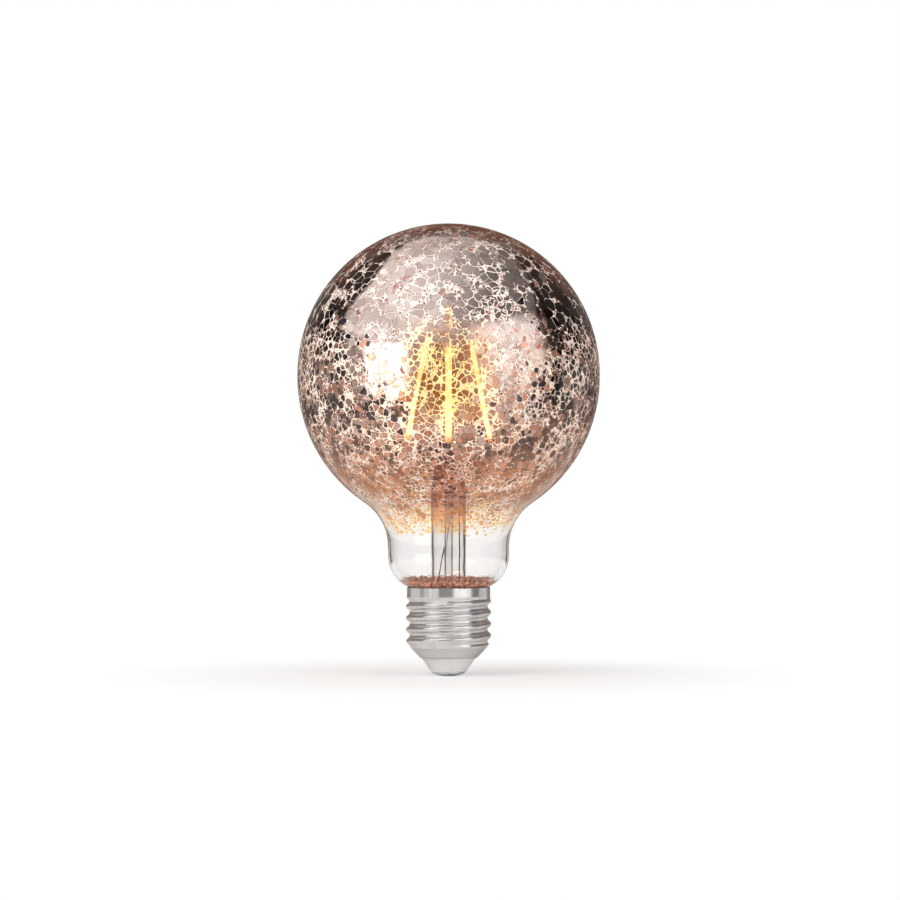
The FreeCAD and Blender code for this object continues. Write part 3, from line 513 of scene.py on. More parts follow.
def upper_colour(graph, field):
    """Silver cells that tarnish on their way down, copper and dark ones and red specks, with the
    strips' glow painted over them in orange.
    """
    lot = field.lot
    silver = graph.blend(lot["X"], SILVER_DARK, SILVER_LIGHT)
    tarnished = graph.blend(lot["X"], TARNISH_DARK, TARNISH_LIGHT)
    silver = graph.blend(graph.rise(field.low, *TARNISHES), silver, tarnished)
    copper = graph.blend(lot["X"], COPPER_DARK, COPPER_LIGHT)
    colour = graph.blend(field.copper, silver, copper)
    colour = graph.blend(graph.times(field.speck, SPECK_SHARE), colour, SPECK_RED)
    more_low = graph.times(field.low, DARK_MORE_LOW)
    more_dark = graph.plus(more_low, graph.times(field.to_side, DARK_MORE_ASIDE))
    dark = graph.plus(lot["Z"], more_dark)
    dark = graph.plus(dark, graph.times(field.islands, DARK_IN_ISLANDS))
    colour = graph.blend(graph.rise(dark, *DARK_LOTS), colour, DARK_SPOT)
    # Painted glow: cells before and behind the strips turn orange, standing for the strips' light
    stain = graph.times(field.stain, graph.rise(lot["Y"], 0.0, 1.0, PAINTED_GLOW_LEAST, 1.0))
    return graph.blend(stain, colour, PAINTED_GLOW_ORANGE)


def film_colour(graph, field):
    """The upper colours with dark rims, orange cells below them, amber ones over the neck."""
    lot = field.lot
    orange_cell = graph.blend(lot["X"], ORANGE_DARK, ORANGE_LIGHT)
    dark_cell = graph.rise(lot["Z"], *ORANGE_RING_LOTS)
    orange_cell = graph.blend(dark_cell, orange_cell, RING_BROWN)
    colour = graph.blend(field.orange, upper_colour(graph, field), orange_cell)
    rim_keeps = graph.minus(RIM_KEEPS, graph.times(field.low, RIM_KEEPS_LESS_LOW))
    own_share = graph.rise(field.depth, *RIM_DEPTH, rim_keeps, 1.0)
    colour = graph.blend(own_share, RING_BROWN, colour)
    amber_cell = graph.blend(lot["X"], AMBER_DARK, AMBER_LIGHT)
    colour = graph.blend(field.amber, colour, amber_cell)
    brown = graph.blend(graph.rise(field.flecks, *FLECK_TONES), FRINGE_DARK, FRINGE_LIGHT)
    colour = graph.blend(field.fringe, colour, brown)
    return graph.blend(field.inside, colour, FILM_BACK)


# How much the mirror covers, and what takes some of it away
COVER_HEIGHT = (64.0, 92.0)
COVER_LOW = 0.72
COVER_HIGH = 0.97
COVER_LESS_ORANGE = 0.08
COVER_LESS_AMBER = 0.16
COVER_LESS_FAR_LOW = 0.55
COVER_LESS_PAINTED_GLOW = 0.06

# Polish of the silver, and of the coloured cells over it
SILVER_ROUGHNESS = 0.07
COLOURED_ROUGHNESS = 0.22
COLOURED_METALLIC = 0.60
AMBER_LESS_METALLIC = 0.35
WAVE_SIZE = 9.0
WAVE_DEPTH = 0.12


def film_cover(graph, field):
    """Share of the light that the film stops. The rest goes through it."""
    cover = graph.rise(field.height, *COVER_HEIGHT, COVER_LOW, COVER_HIGH)
    cover = graph.minus(cover, graph.times(field.orange, COVER_LESS_ORANGE))
    cover = graph.minus(cover, graph.times(field.amber, COVER_LESS_AMBER))
    cover = graph.minus(cover, graph.times(field.far_low, COVER_LESS_FAR_LOW))
    # The film lets more through where the strips' glow is painted
    cover = graph.minus(cover, graph.times(field.stain, COVER_LESS_PAINTED_GLOW))
    return graph.larger(field.fringe, cover)


def mirror_shader(graph, field):
    """The film itself: bright silver, duller where it is coloured, matt inside the globe."""
    coloured = graph.larger(field.copper, graph.larger(field.speck, field.amber))
    # Cells under the painted glow of the strips are duller, like coloured ones
    coloured = graph.larger(coloured, field.stain)
    metallic = graph.rise(coloured, 0.0, 1.0, 1.0, COLOURED_METALLIC)
    roughness = graph.rise(coloured, 0.0, 1.0, SILVER_ROUGHNESS, COLOURED_ROUGHNESS)
    mirror = graph.add("BsdfPrincipled", {
        "Base Color": film_colour(graph, field),
        "Metallic": graph.minus(metallic, graph.times(field.amber, AMBER_LESS_METALLIC)),
        "Roughness": graph.larger(roughness, field.inside),
        "Normal": graph.bump(graph.noise(field.place, WAVE_SIZE), WAVE_DEPTH),
    })
    return mirror.outputs[0]


def film_shader(graph, field):
    seen = graph.blend(field.orange, SEEN_BROWN, SEEN_ORANGE)
    seen = graph.blend(field.amber, seen, SEEN_AMBER)
    seen = graph.blend(field.far_low, seen, SEEN_PALE)
    through = graph.add("BsdfTransparent", {"Color": seen})
    mirror = mirror_shader(graph, field)
    return graph.mixed(film_cover(graph, field), through.outputs[0], mirror)


# Width of the cracks by patch, and what widens or narrows them. Below zero they close.
CRACK_PATCHES = (0.34, 0.66)
CRACK_NARROW = -0.02
CRACK_WIDE = 0.10
AMBER_WIDENS = 0.10
BARE_NARROWS = 0.06
PAINTED_GLOW_WIDENS = 0.03
ORANGE_NARROWS = 0.02
CRACK_EDGE = (0.0, 0.06)

# Cells drop out over the neck, those with a low lot first
THINNING = (42.0, 48.0)
THINNING_FULL = 1.1
THINNING_EDGE = 0.02


def crack_width(graph, field):
    width = graph.rise(field.patch, *CRACK_PATCHES, CRACK_NARROW, CRACK_WIDE)
    width = graph.plus(width, graph.times(field.amber, AMBER_WIDENS))
    dense = graph.larger(field.bare, field.islands)
    width = graph.minus(width, graph.times(dense, BARE_NARROWS))
    # Cracks are wider where the strips' glow is painted
    width = graph.plus(width, graph.times(field.stain, PAINTED_GLOW_WIDENS))
    orange_alone = graph.minus(field.orange, field.amber)
    return graph.minus(width, graph.times(orange_alone, ORANGE_NARROWS))


def cell_share(graph, field):
    """One in the cells that have their film, and zero in the cracks."""
    past_crack = graph.minus(field.depth, crack_width(graph, field))
    cell = graph.rise(past_crack, *CRACK_EDGE)
    thinning = graph.rise(field.height, *THINNING, THINNING_FULL, 0.0)
    stays = graph.rise(graph.minus(field.lot["Y"], thinning), -THINNING_EDGE, THINNING_EDGE)
    return graph.larger(graph.times(cell, stays), field.fringe)


# Veins in the cracks: their colours, and how much of them is left at which height
VEIN_PINK = (0.93, 0.78, 0.72, 1.0)
VEIN_WHITE = (0.98, 0.94, 0.92, 1.0)
VEIN_CREAM = (0.98, 0.86, 0.77, 1.0)
VEIN_YELLOW = (1.0, 0.92, 0.70, 1.0)
# Painted glow: the yellow the veins take before and behind the lit strips
PAINTED_GLOW_YELLOW = (1.0, 0.80, 0.42, 1.0)
VEIN_COVER = 0.96
VEIN_FADE = (50.0, 80.0)
VEIN_LOW_SHARE = 0.24
VEIN_END = (43.5, 48.0)
CROWN = (126.0, 138.0)
VEIN_CROWN_SHARE = 0.45
VEIN_LESS_FAR_LOW = 0.85

# How a vein passes light on
VEIN_THROUGH = 0.14
# Veins let more through where the strips' glow is painted
PAINTED_GLOW_THROUGH_MORE = 0.20
VEIN_SCATTER = 0.10
SCATTER_ROUGHNESS = 0.40
SCATTER_IOR = 1.4


def vein_share(graph, field):
    """How much of the veins is left, out of one."""
    share = graph.rise(graph.plus(field.height, field.ragged), *VEIN_FADE, VEIN_LOW_SHARE, 1.0)
    share = graph.times(share, graph.rise(field.height, *VEIN_END))
    share = graph.times(share, graph.rise(field.height, *CROWN, 1.0, VEIN_CROWN_SHARE))
    far_low = graph.times(field.far_low, VEIN_LESS_FAR_LOW)
    return graph.times(share, graph.minus(1.0, far_low))


def vein_shader(graph, field):
    """Pale paint in the cracks that also lets some light through, with clear glass between."""
    colour = graph.blend(field.patch, VEIN_PINK, VEIN_WHITE)
    colour = graph.blend(field.low, colour, VEIN_CREAM)
    colour = graph.blend(field.amber, colour, VEIN_YELLOW)
    # Painted glow: veins before and behind the strips turn yellow
    colour = graph.blend(field.stain, colour, PAINTED_GLOW_YELLOW)
    paint = graph.add("BsdfDiffuse", {"Color": colour})
    lit_through = graph.add("BsdfTranslucent", {"Color": colour})
    inputs = {"Color": colour, "Roughness": SCATTER_ROUGHNESS, "IOR": SCATTER_IOR}
    scatter = graph.add("BsdfRefraction", inputs)
    clear = graph.add("BsdfTransparent")
    # More of a vein is lit through where the strips' glow is painted
    through = graph.plus(graph.times(field.stain, PAINTED_GLOW_THROUGH_MORE), VEIN_THROUGH)
    vein = graph.mixed(through, paint.outputs[0], lit_through.outputs[0])
    vein = graph.mixed(VEIN_SCATTER, vein, scatter.outputs[0])
    cover = graph.times(vein_share(graph, field), VEIN_COVER)
    return graph.mixed(cover, clear.outputs[0], vein)


def mirror_film():
    """Thin mirror that cracked into cells. It thins out to amber specks over the neck."""
    material, graph = new_material("mirror_film")
    field = film_field(graph)
    film = film_shader(graph, field)
    vein = vein_shader(graph, field)
    graph.finish(graph.mixed(cell_share(graph, field), vein, film))
    return material


# The lit strips
STRIP_LOWER_END = (76.5, 73.0)
STRIP_UPPER_END = (100.5, 103.6)
STRIP_GRAIN = 0.8
STRIP_DEEP = (1.0, 0.54, 0.16, 1)
STRIP_PALE = (1.0, 0.64, 0.24, 1)
STRIP_END_ORANGE = (1.0, 0.46, 0.08, 1)
STRIP_GLOW = 23.0
STRIP_END_GLOW = 5.0


def lit_strip():
    """Glowing phosphor: bright and warm in its middle, dimmer and orange at both ends."""
    material, graph = new_material("lit_strip")
    place = graph.place()
    height = graph.parts(place)["Z"]
    lower_end = graph.rise(height, *STRIP_LOWER_END)
    end = graph.larger(lower_end, graph.rise(height, *STRIP_UPPER_END))
    warm = graph.blend(graph.noise(place, STRIP_GRAIN), STRIP_DEEP, STRIP_PALE)
    colour = graph.blend(end, warm, STRIP_END_ORANGE)
    inputs = {
        "Base Color": colour,
        "Roughness": 0.5,
        "Emission Color": colour,
        "Emission Strength": graph.rise(end, 0.0, 1.0, STRIP_GLOW, STRIP_END_GLOW),
    }
    graph.finish(graph.add("BsdfPrincipled", inputs).outputs[0])
    return material


# Metals and dull materials: size of their clouds by grain, noise they use, span of roughness
METAL_CLOUD = 6.0
METAL_TONES = (0.35, 0.65)
METAL_SMOOTHEST = 0.8
METAL_ROUGHEST = 1.3
MATT_CLOUD = 5.0
MATT_TONES = (0.5, 0.9)
MATT_GRAIN_IN_TONE = 0.4
MATT_SMOOTHEST = 0.85
GRAIN_SPAN = (0.3, 0.7)


def metal(name, light, dark, roughness, grain, dent=0.0):
    """Metal whose tone and polish vary with two scales of noise."""
    material, graph = new_material(name)
    place = graph.place()
    cloud = graph.noise(place, grain * METAL_CLOUD, detail=3.0)
    fine = graph.noise(place, grain)
    span = (roughness * METAL_SMOOTHEST, roughness * METAL_ROUGHEST)
    inputs = {
        "Base Color": graph.blend(graph.rise(cloud, *METAL_TONES), light, dark),
        "Metallic": 1.0,
        "Roughness": graph.rise(fine, *GRAIN_SPAN, *span),
        "Normal": graph.bump(cloud, dent),
    }
    graph.finish(graph.add("BsdfPrincipled", inputs).outputs[0])
    return material


def matt(name, light, dark, roughness, grain, speck=0.0):
    """Dull material in two tones, with a fine grain in its surface."""
    material, graph = new_material(name)
    place = graph.place()
    cloud = graph.noise(place, grain * MATT_CLOUD, detail=3.0)
    fine = graph.noise(place, grain)
    tone = graph.plus(cloud, graph.times(fine, MATT_GRAIN_IN_TONE))
    inputs = {
        "Base Color": graph.blend(graph.rise(tone, *MATT_TONES), light, dark),
        "Roughness": graph.rise(fine, *GRAIN_SPAN, roughness * MATT_SMOOTHEST, roughness),
        "Normal": graph.bump(fine, speck),
    }
    graph.finish(graph.add("BsdfPrincipled", inputs).outputs[0])
    return material


# The cap's sheet: heights of its cone and of the painted shade on its lip's lower cut edge, and its
# polish
CONE = (9.1, 8.8)
# Painted shade: the lip's cut edge is painted dark as the contact shadow where the cap meets the
# insulator
LIP_SHADE_HEIGHTS = (5.95, 5.85)
SHEET_CLOUD = 4.0
SHEET_TONES = (0.35, 0.68)
STREAK_SIZE = 2.5
STREAK_SQUEEZE = (1.0, 1.0, 6.0)
SHEET_SMOOTH = 0.12
SHEET_RUBBED = 0.20
CONE_ROUGHER = 0.25
SHEET_METALLIC = 0.78
SHEET_DENT = 0.02
SHINY_TONES = (grey(0.74), grey(0.62))
DULL_TONES = (grey(0.58), grey(0.66))
LIP_SHADE_TONE = grey(0.16)


def nickel_sheet():
    """Rolled nickel plate: shiny on the thread, dull on the cone, with rubbed streaks, and painted
    shade on its lip's cut edge above the insulator.
    """
    material, graph = new_material("nickel_sheet")
    place = graph.place()
    height = graph.parts(place)["Z"]
    cloud = graph.noise(place, SHEET_CLOUD, detail=3.0)
    streaks = graph.noise(graph.scaled(place, STREAK_SQUEEZE), STREAK_SIZE, detail=3.0)
    cone = graph.rise(height, *CONE)
    shiny = graph.blend(graph.rise(cloud, *SHEET_TONES), *SHINY_TONES)
    plate = graph.blend(cone, shiny, graph.blend(cloud, *DULL_TONES))
    roughness = graph.rise(streaks, *GRAIN_SPAN, SHEET_SMOOTH, SHEET_RUBBED)
    inputs = {
        # Painted shade: dark below the lip's edge height, as a contact shadow over the insulator
        "Base Color": graph.blend(graph.rise(height, *LIP_SHADE_HEIGHTS), plate, LIP_SHADE_TONE),
        "Metallic": SHEET_METALLIC,
        "Roughness": graph.plus(roughness, graph.times(cone, CONE_ROUGHER)),
        "Normal": graph.bump(cloud, SHEET_DENT),
    }
    graph.finish(graph.add("BsdfPrincipled", inputs).outputs[0])
    return material


# The driver: tracks on its board, and the turns of its winding
TRACK_SIZE = 3.0
TRACK_EDGE = (0.25, 0.35)
TRACK_HEIGHT = 0.03
BOARD_GREEN = (0.03, 0.16, 0.07, 1)
TRACK_GREEN = (0.06, 0.26, 0.11, 1)
TURN_HALF_PITCH = 0.1
TURN_RIDGE = (0.0, 0.08)
TURN_HEIGHT = 0.05
GROOVE_BROWN = (0.20, 0.06, 0.02, 1)
LACQUER_RED = (0.62, 0.26, 0.10, 1)


def circuit_board():
    """Green board with pale tracks under its lacquer."""
    material, graph = new_material("board")
    flat = graph.scaled(graph.place(), (1.0, 1.0, 0.0))
    depth = round_cells(graph, flat, TRACK_SIZE, CLOSE_REACH)[0]
    track = graph.rise(depth, *TRACK_EDGE)
    inputs = {
        "Base Color": graph.blend(track, BOARD_GREEN, TRACK_GREEN),
        "Roughness": 0.35,
        "Normal": graph.bump(track, TRACK_HEIGHT),
    }
    graph.finish(graph.add("BsdfPrincipled", inputs).outputs[0])
    return material


def winding():
    """Layers of lacquered copper wire round the choke."""
    material, graph = new_material("winding")
    height = graph.parts(graph.place())["Z"]
    turn = graph.math("PINGPONG", height, TURN_HALF_PITCH)
    ridge = graph.rise(turn, *TURN_RIDGE)
    inputs = {
        "Base Color": graph.blend(ridge, GROOVE_BROWN, LACQUER_RED),
        "Metallic": 0.8,
        "Roughness": 0.3,
        "Normal": graph.bump(ridge, TURN_HEIGHT),
    }
    graph.finish(graph.add("BsdfPrincipled", inputs).outputs[0])
    return material


# Tones of the plain metals and dull materials, light and dark
WIRE_TONES = (grey(0.14), (0.07, 0.055, 0.05, 1))
COPPER_TONES = ((0.10, 0.06, 0.05, 1), (0.04, 0.025, 0.02, 1))
INSULATION_TONES = (grey(0.72), (0.66, 0.66, 0.65, 1))
CEMENT_TONES = ((0.55, 0.50, 0.42, 1), (0.36, 0.32, 0.26, 1))
RESISTOR_TONES = ((0.16, 0.30, 0.22, 1), (0.10, 0.22, 0.16, 1))
CERAMIC_TONES = ((0.50, 0.36, 0.20, 1), (0.40, 0.28, 0.15, 1))

MATERIALS = {
    "coated_glass": glass("globe_glass", CLEAR, TONED, GLOBE_TINT, GLOBE_IOR, coated=GLOBE_COAT),
    "clear_glass": glass("stem_glass", CLEAR, AMBER_GLASS, STEM_TINT, STEM_IOR, press=PRESS_BROWN),
    "lit_strip": lit_strip(),
    "tab_metal": metal("tab_metal", grey(0.62), grey(0.45), roughness=0.3, grain=0.3),
    "support_wire": metal("support_wire", *WIRE_TONES, roughness=0.4, grain=0.4),
    "copper_wire": metal("copper_wire", *COPPER_TONES, roughness=0.5, grain=0.4),
    "tinned_wire": metal("tinned_wire", grey(0.66), grey(0.48), roughness=0.25, grain=0.4),
    "nickel_sheet": nickel_sheet(),
    "insulation": matt("insulation", *INSULATION_TONES, roughness=0.5, grain=0.4, speck=0.02),
    "contact_metal": metal(
        "contact_metal", grey(0.74), grey(0.62), roughness=0.42, grain=0.5, dent=0.05
    ),
    "cement": matt("cement", *CEMENT_TONES, roughness=0.9, grain=0.3, speck=0.1),
    "board": circuit_board(),
    "chip_plastic": matt(
        "chip_plastic", grey(0.03), grey(0.05), roughness=0.5, grain=0.2, speck=0.02
    ),
    "can_aluminium": metal("can_aluminium", grey(0.75), grey(0.60), roughness=0.3, grain=0.4),
    "ferrite": matt("ferrite", grey(0.05), grey(0.08), roughness=0.6, grain=0.2, speck=0.03),
    "winding": winding(),
    "resistor_body": matt("resistor_body", *RESISTOR_TONES, roughness=0.45, grain=0.3),
    "ceramic": matt("ceramic", *CERAMIC_TONES, roughness=0.4, grain=0.2),
}


def arc(centre_r, centre_z, radius, start, end, steps):
    """Points (r, z) of a bend from one angle to the other, in degrees from level."""
    points = []
    for step in range(steps + 1):
        angle = math.radians(start + (end - start) * step / steps)
        points.append((centre_r + radius * math.cos(angle), centre_z + radius * math.sin(angle)))
    return points


def film_profile():
    """Points (r, z) from the globe's top to just above the cap's rim, within the glass wall."""
    depth = GLASS_WALL - FILM_DEPTH
    globe_radius = GLOBE_RADIUS - depth
    shoulder_radius = SHOULDER_BEND + depth
    base_radius = BASE_BEND - depth
    tangent = math.degrees(math.atan2(LOWER_CENTRE_Z - SHOULDER_Z, SHOULDER_CENTRE_R))
    base_end = -math.degrees(math.asin((NECK_END_Z - FILM_END_Z) / base_radius))
    upper = arc(0.0, UPPER_CENTRE_Z, globe_radius, 90.0, 0.0, UPPER_STEPS)
    lower = arc(0.0, LOWER_CENTRE_Z, globe_radius, 0.0, -tangent, LOWER_STEPS)
    turns = (180.0 - tangent, 180.0, SHOULDER_STEPS)
    shoulder = arc(SHOULDER_CENTRE_R, SHOULDER_Z, shoulder_radius, *turns)
    base = arc(BASE_CENTRE_R, NECK_END_Z, base_radius, 0.0, base_end, BASE_STEPS)
    return upper + lower + shoulder[1:] + base


def turned_rings(build, profile, turns):
    """A ring of vertices for each point of the profile, or a single one on the axis."""
    rings = []
    for r, z in profile:
        count = turns if r > POLE_RADIUS else 1
        ring = []
        for turn in range(count):
            angle = 2 * math.pi * turn / turns
            ring.append(build.verts.new((r * math.cos(angle) * MM, r * math.sin(angle) * MM, z * MM)))
        rings.append(ring)
    return rings


def lengths_along(profile):
    lengths = [0.0]
    for (r, z), (next_r, next_z) in zip(profile, profile[1:]):
        lengths.append(lengths[-1] + math.hypot(next_r - r, next_z - z))
    return lengths


def turned(name, profile, turns, material):
    """A surface turned about the axis, with a map of angle and length along the profile."""
    build = bmesh.new()
    rings = turned_rings(build, profile, turns)
    lengths = lengths_along(profile)
    layer = build.loops.layers.uv.new("OFBake")
    for row, (above, below) in enumerate(zip(rings, rings[1:])):
        for turn in range(turns):
            corners = {}
            for ring, side, step in ((above, 0, 0), (below, 0, 1), (below, 1, 1), (above, 1, 0)):
                vertex = ring[(turn + side) % len(ring)]
                corners.setdefault(vertex, ((turn + side) / turns, lengths[row + step]))
            face = build.faces.new(list(corners))
            face.smooth = True
            for loop, (across, down) in zip(face.loops, corners.values()):
                loop[layer].uv = (across, 1 - down / lengths[-1])
    mesh = bpy.data.meshes.new(name)
    build.to_mesh(mesh)
    build.free()
    piece = bpy.data.objects.new(name, mesh)
    piece.data.materials.append(material)
    bpy.context.scene.collection.objects.link(piece)
    return piece


def make_film():
    film = turned("mirror_film", film_profile(), FILM_TURNS, mirror_film())
    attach(film, "root")


def dress_cad_nodes(frame):
    """Give every CAD node the material of its slot, which its first material is named after."""
    for node in frame["nodes"].values():
        slot = node.data.materials[0].name.split(".")[0]
        node.data.materials.clear()
        node.data.materials.append(MATERIALS[slot])


# A pale ceiling, one unit up: its far edge is slanted, then level, then a sloping shelf
LEAST_RISE = 0.05
SLANT_SLOPE = 0.744
SLANT_START = 0.46
SLANT_END = 0.24
SHELF_SLOPE = 0.107
SHELF_START = -0.068
CEILING_FAR = (0.02, -0.03)
CEILING_NEAR = (-2.7, -2.1)
CEILING_LEFT = (-2.6, -2.1)
CEILING_RIGHT = (0.83, 0.73)
RIGHT_EDGE_SLOPE = 1.2
CEILING_FROM = (0.12, 0.2)
CEILING_DIMS = (-0.5, 0.62)
CEILING_BRIGHT = 1.2
CEILING_DIM = 0.22

# A dimmer patch of it behind the bulb
REAR_LEFT = (-0.75, -0.5)
REAR_RIGHT = (0.75, 0.5)
REAR_NEAR = (0.23, 0.28)
REAR_FAR = (1.6, 1.2)
REAR_FROM = (0.4, 0.5)
REAR_LIGHT = 0.26

# Panels round the bulb: bearings from the camera and elevations, and their soft edge, in degrees
Panel = namedtuple("Panel", "left right low high soft")
SOFTBOX = Panel(left=-55, right=-28, low=-12, high=17, soft=2.4)
SOFTBOX_BAR = Panel(left=-45.4, right=-43.6, low=-16, high=60, soft=0.4)
LEFT_WALL = Panel(left=-74, right=-55, low=-20, high=24, soft=5)
FAR_LEFT_WALL = Panel(left=-138, right=-84, low=-50, high=6, soft=8)
RIGHT_WALL = Panel(left=14, right=66, low=-46, high=32, soft=5)
FAR_RIGHT_WALL = Panel(left=94, right=150, low=-50, high=6, soft=6)

# Their light. A pair is what bare metal mirrors and what the film behind its glass mirrors.
SOFTBOX_LIGHT = (0.9, 7.0)
BAR_SHADE = 0.85
LEFT_LIGHT = 0.50
FAR_LEFT_LIGHT = (0.60, 0.28)
RIGHT_LIGHT = 1.3
FAR_RIGHT_LIGHT = (0.60, 0.10)
LEAST_LIGHT = 0.03

# Tints of the room, and where it is grey or brown behind the bulb
ROOM_TINT = (1.0, 0.985, 0.975)
REAR_GREY = (0.22, 0.18, 0.16, 1)
REAR_GREY_FROM = (0.60, 0.75)
REAR_BROWN = (0.20, 0.10, 0.07, 1)
REAR_BROWN_FROM = (0.25, 0.4)
REAR_BROWN_UP = (0.1, 0.25)
SIDE_LOWERS = 0.45

# What glass shows once light in it was mirrored, and how nearly it must look straight back
MIRRORED_DARK = (0.05, 0.022, 0.020, 1)
STRAIGHT_BACK = (0.895, 0.945)


def ceiling_light(graph, x, y, z):
    steep = graph.larger(z, LEAST_RISE)
    across = graph.math("DIVIDE", x, steep)
    along = graph.math("DIVIDE", y, steep)
    slant = graph.plus(graph.times(across, SLANT_SLOPE), SLANT_START)
    shelf = graph.plus(graph.times(across, SHELF_SLOPE), SHELF_START)
    far_edge = graph.larger(graph.smaller(slant, SLANT_END), shelf)
    past_right = graph.plus(across, graph.times(along, RIGHT_EDGE_SLOPE))
    sides = graph.times(graph.rise(past_right, *CEILING_RIGHT), graph.rise(across, *CEILING_LEFT))
    far_end = graph.rise(graph.minus(along, far_edge), *CEILING_FAR)
    ends = graph.times(graph.rise(along, *CEILING_NEAR), far_end)
    shape = graph.times(graph.times(sides, ends), graph.rise(z, *CEILING_FROM))
    light = graph.rise(across, *CEILING_DIMS, CEILING_BRIGHT, CEILING_DIM)
    return graph.plus(graph.times(shape, light), rear_light(graph, across, along, z))


def rear_light(graph, across, along, z):
    sides = graph.times(graph.rise(across, *REAR_LEFT), graph.rise(across, *REAR_RIGHT))
    ends = graph.times(graph.rise(along, *REAR_NEAR), graph.rise(along, *REAR_FAR))
    return graph.times(graph.times(sides, ends), graph.rise(z, *REAR_FROM, 0.0, REAR_LIGHT))


def panel_light(graph, bearing, level, panel, strength):
    """Light of this strength inside the panel and none outside it."""
    left, right, low, high, soft = map(math.radians, panel)
    wide = graph.times(
        graph.rise(bearing, left - soft, left + soft),
        graph.rise(bearing, right + soft, right - soft),
    )
    tall = graph.times(
        graph.rise(level, low - soft, low + soft),
        graph.rise(level, high + soft, high - soft),
    )
    return graph.times(graph.times(wide, tall), strength)


def panels_light(graph, x, y, z, behind_glass):
    """The soft box with its dark bar, and the walls."""
    bearing = graph.math("ARCTAN2", x, graph.times(y, -1.0))
    level = graph.math("ARCSINE", z)

    def light(panel, strength):
        if isinstance(strength, tuple):
            strength = graph.rise(behind_glass, 0.0, 1.0, *strength)
        return panel_light(graph, bearing, level, panel, strength)

    bar = light(SOFTBOX_BAR, BAR_SHADE)
    softbox = graph.times(light(SOFTBOX, SOFTBOX_LIGHT), graph.minus(1.0, bar))
    left = graph.plus(light(LEFT_WALL, LEFT_LIGHT), light(FAR_LEFT_WALL, FAR_LEFT_LIGHT))
    right = graph.plus(light(RIGHT_WALL, RIGHT_LIGHT), light(FAR_RIGHT_WALL, FAR_RIGHT_LIGHT))
    return softbox, graph.plus(left, right)


def room_colour(graph, x, y, z, behind_glass):
    """What the bulb mirrors of the room: ceiling, soft box, walls and a dark rear."""
    softbox, walls = panels_light(graph, x, y, z, behind_glass)
    light = graph.plus(graph.plus(ceiling_light(graph, x, y, z), softbox), walls)
    light = graph.plus(light, LEAST_LIGHT)
    colour = graph.add("CombineXYZ", {"X": light, "Y": light, "Z": light}).outputs[0]
    colour = graph.scaled(colour, ROOM_TINT)
    on_metal = graph.minus(1.0, behind_glass)
    rear_grey = graph.times(graph.rise(y, *REAR_GREY_FROM), on_metal)
    colour = graph.blend(rear_grey, colour, REAR_GREY)
    upward = graph.minus(z, graph.times(graph.math("ABSOLUTE", x), SIDE_LOWERS))
    rear = graph.times(graph.rise(y, *REAR_BROWN_FROM), graph.rise(upward, *REAR_BROWN_UP))
    return graph.blend(rear, colour, REAR_BROWN)


def studio_world():
    """White behind the bulb for the camera and through its clear glass, and the room elsewhere."""
    world = bpy.data.worlds.new("studio")
    world.use_nodes = True
    graph = Graph(world.node_tree)
    direction = graph.parts(graph.add("TexCoord").outputs["Generated"])
    x, y, z = (direction[axis] for axis in "XYZ")
    path = graph.add("LightPath").outputs
    behind_glass = graph.rise(path["Transmission Depth"], 0.0, 1.0)
    room = room_colour(graph, x, y, z, behind_glass)
    straight = graph.math("LESS_THAN", path["Glossy Depth"], 0.5)
    straight = graph.larger(straight, graph.rise(y, *STRAIGHT_BACK))
    backdrop = graph.blend(straight, MIRRORED_DARK, grey(1.0))
    colour = graph.blend(path["Is Transmission Ray"], room, backdrop)
    colour = graph.blend(path["Is Camera Ray"], colour, grey(1.0))
    background = graph.add("Background", {"Color": colour})
    graph.finish(background.outputs[0], "OutputWorld")
    bpy.context.scene.world = world


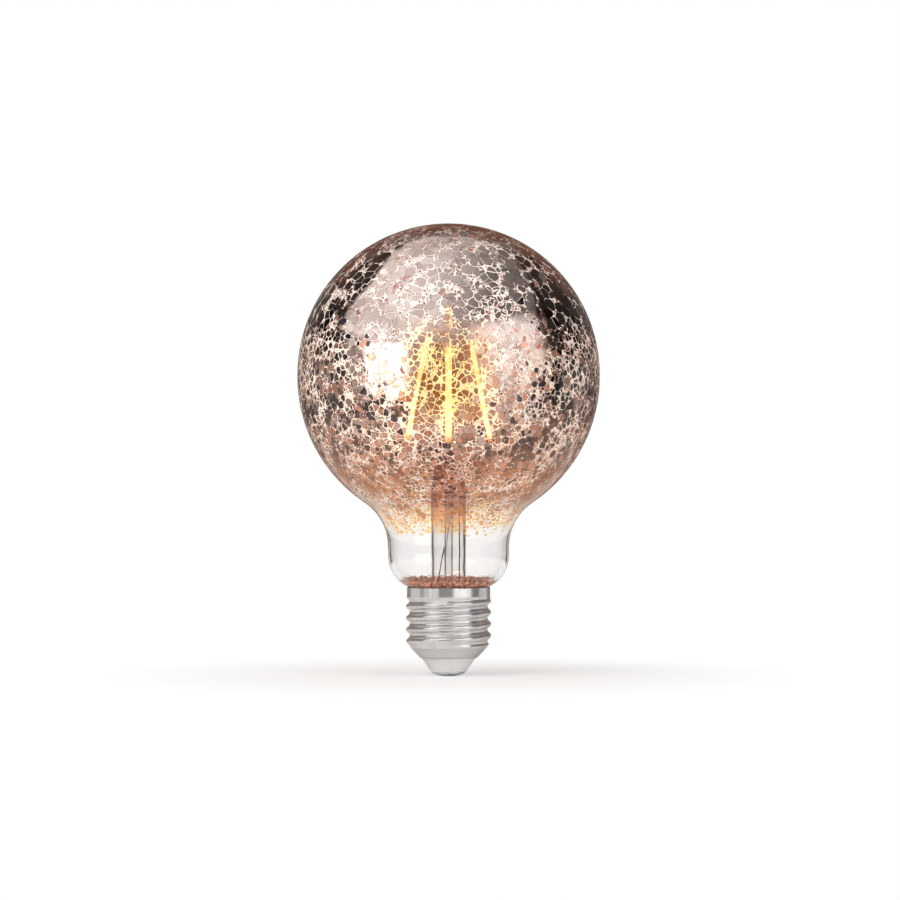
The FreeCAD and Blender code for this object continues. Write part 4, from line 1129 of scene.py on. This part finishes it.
def floor_material():
    """Pale floor that keeps the bulb's shadow near it and turns into the white backdrop."""
    material, graph = new_material("pale_floor")
    place = graph.place()
    lit = graph.add("BsdfPrincipled", {
        "Base Color": graph.blend(graph.noise(place, FLOOR_GRAIN), grey(0.90), grey(0.92)),
        "Roughness": 0.7,
    })
    flat = graph.scaled(place, (1.0, 1.0, 0.0))
    distance = graph.add("VectorMath", {0: flat}, operation="LENGTH").outputs["Value"]
    white = graph.rise(distance, *FLOOR_WHITENS, FLOOR_LEAST_WHITE, 1.0)
    path = graph.add("LightPath").outputs
    seen = graph.larger(path["Is Camera Ray"], path["Is Transmission Ray"])
    glow = graph.add("Emission", {"Color": grey(1.0), "Strength": 1.0})
    near = graph.mixed(graph.times(white, seen), lit.outputs[0], glow.outputs[0])
    clear = graph.add("BsdfTransparent")
    graph.finish(graph.mixed(graph.rise(distance, *FLOOR_FADES), near, clear.outputs[0]))
    return material


def make_floor():
    mesh = bpy.data.meshes.new("floor")
    build = bmesh.new()
    half = FLOOR_SIZE / 2 * MM
    corners = [(-half, -half), (half, -half), (half, half), (-half, half)]
    build.faces.new([build.verts.new((x, y, 0.0)) for x, y in corners])
    build.to_mesh(mesh)
    build.free()
    floor = bpy.data.objects.new("floor", mesh)
    floor.data.materials.append(floor_material())
    bpy.context.scene.collection.objects.link(floor)


def add_lamp(name, place, size, power, colour):
    """A square lamp that looks at the bulb and isn't mirrored in it."""
    lamp = bpy.data.lights.new(name, "AREA")
    lamp.shape = "SQUARE"
    lamp.size = size * MM
    lamp.energy = power
    lamp.color = colour
    holder = bpy.data.objects.new(name, lamp)
    holder.location = Vector(place) * MM
    aim = Vector(LAMP_TARGET) * MM - holder.location
    holder.rotation_euler = aim.to_track_quat("-Z", "Y").to_euler()
    holder.visible_glossy = False
    bpy.context.scene.collection.objects.link(holder)


def make_camera():
    """A level camera whose view is VIEW_WIDTH across at the bulb's axis."""
    camera = bpy.data.cameras.new("camera")
    camera.sensor_width = SENSOR_WIDTH
    camera.lens = SENSOR_WIDTH * CAMERA_DISTANCE / VIEW_WIDTH
    holder = bpy.data.objects.new("camera", camera)
    holder.location = Vector((CAMERA_RIGHT, -CAMERA_DISTANCE, CAMERA_Z)) * MM
    holder.rotation_euler = (math.pi / 2, 0.0, 0.0)
    bpy.context.scene.collection.objects.link(holder)
    bpy.context.scene.camera = holder


for leftover in list(bpy.data.objects):
    bpy.data.objects.remove(leftover)

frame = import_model()
dress_cad_nodes(frame)
make_film()
studio_world()
make_floor()
add_lamp("key_lamp", KEY_PLACE, size=800, power=10.5, colour=(1.0, 0.98, 0.96))
add_lamp("fill_lamp", FILL_PLACE, size=900, power=5.0, colour=(1.0, 0.98, 0.97))
make_camera()
bpy.context.scene.view_settings.view_transform = "Standard"
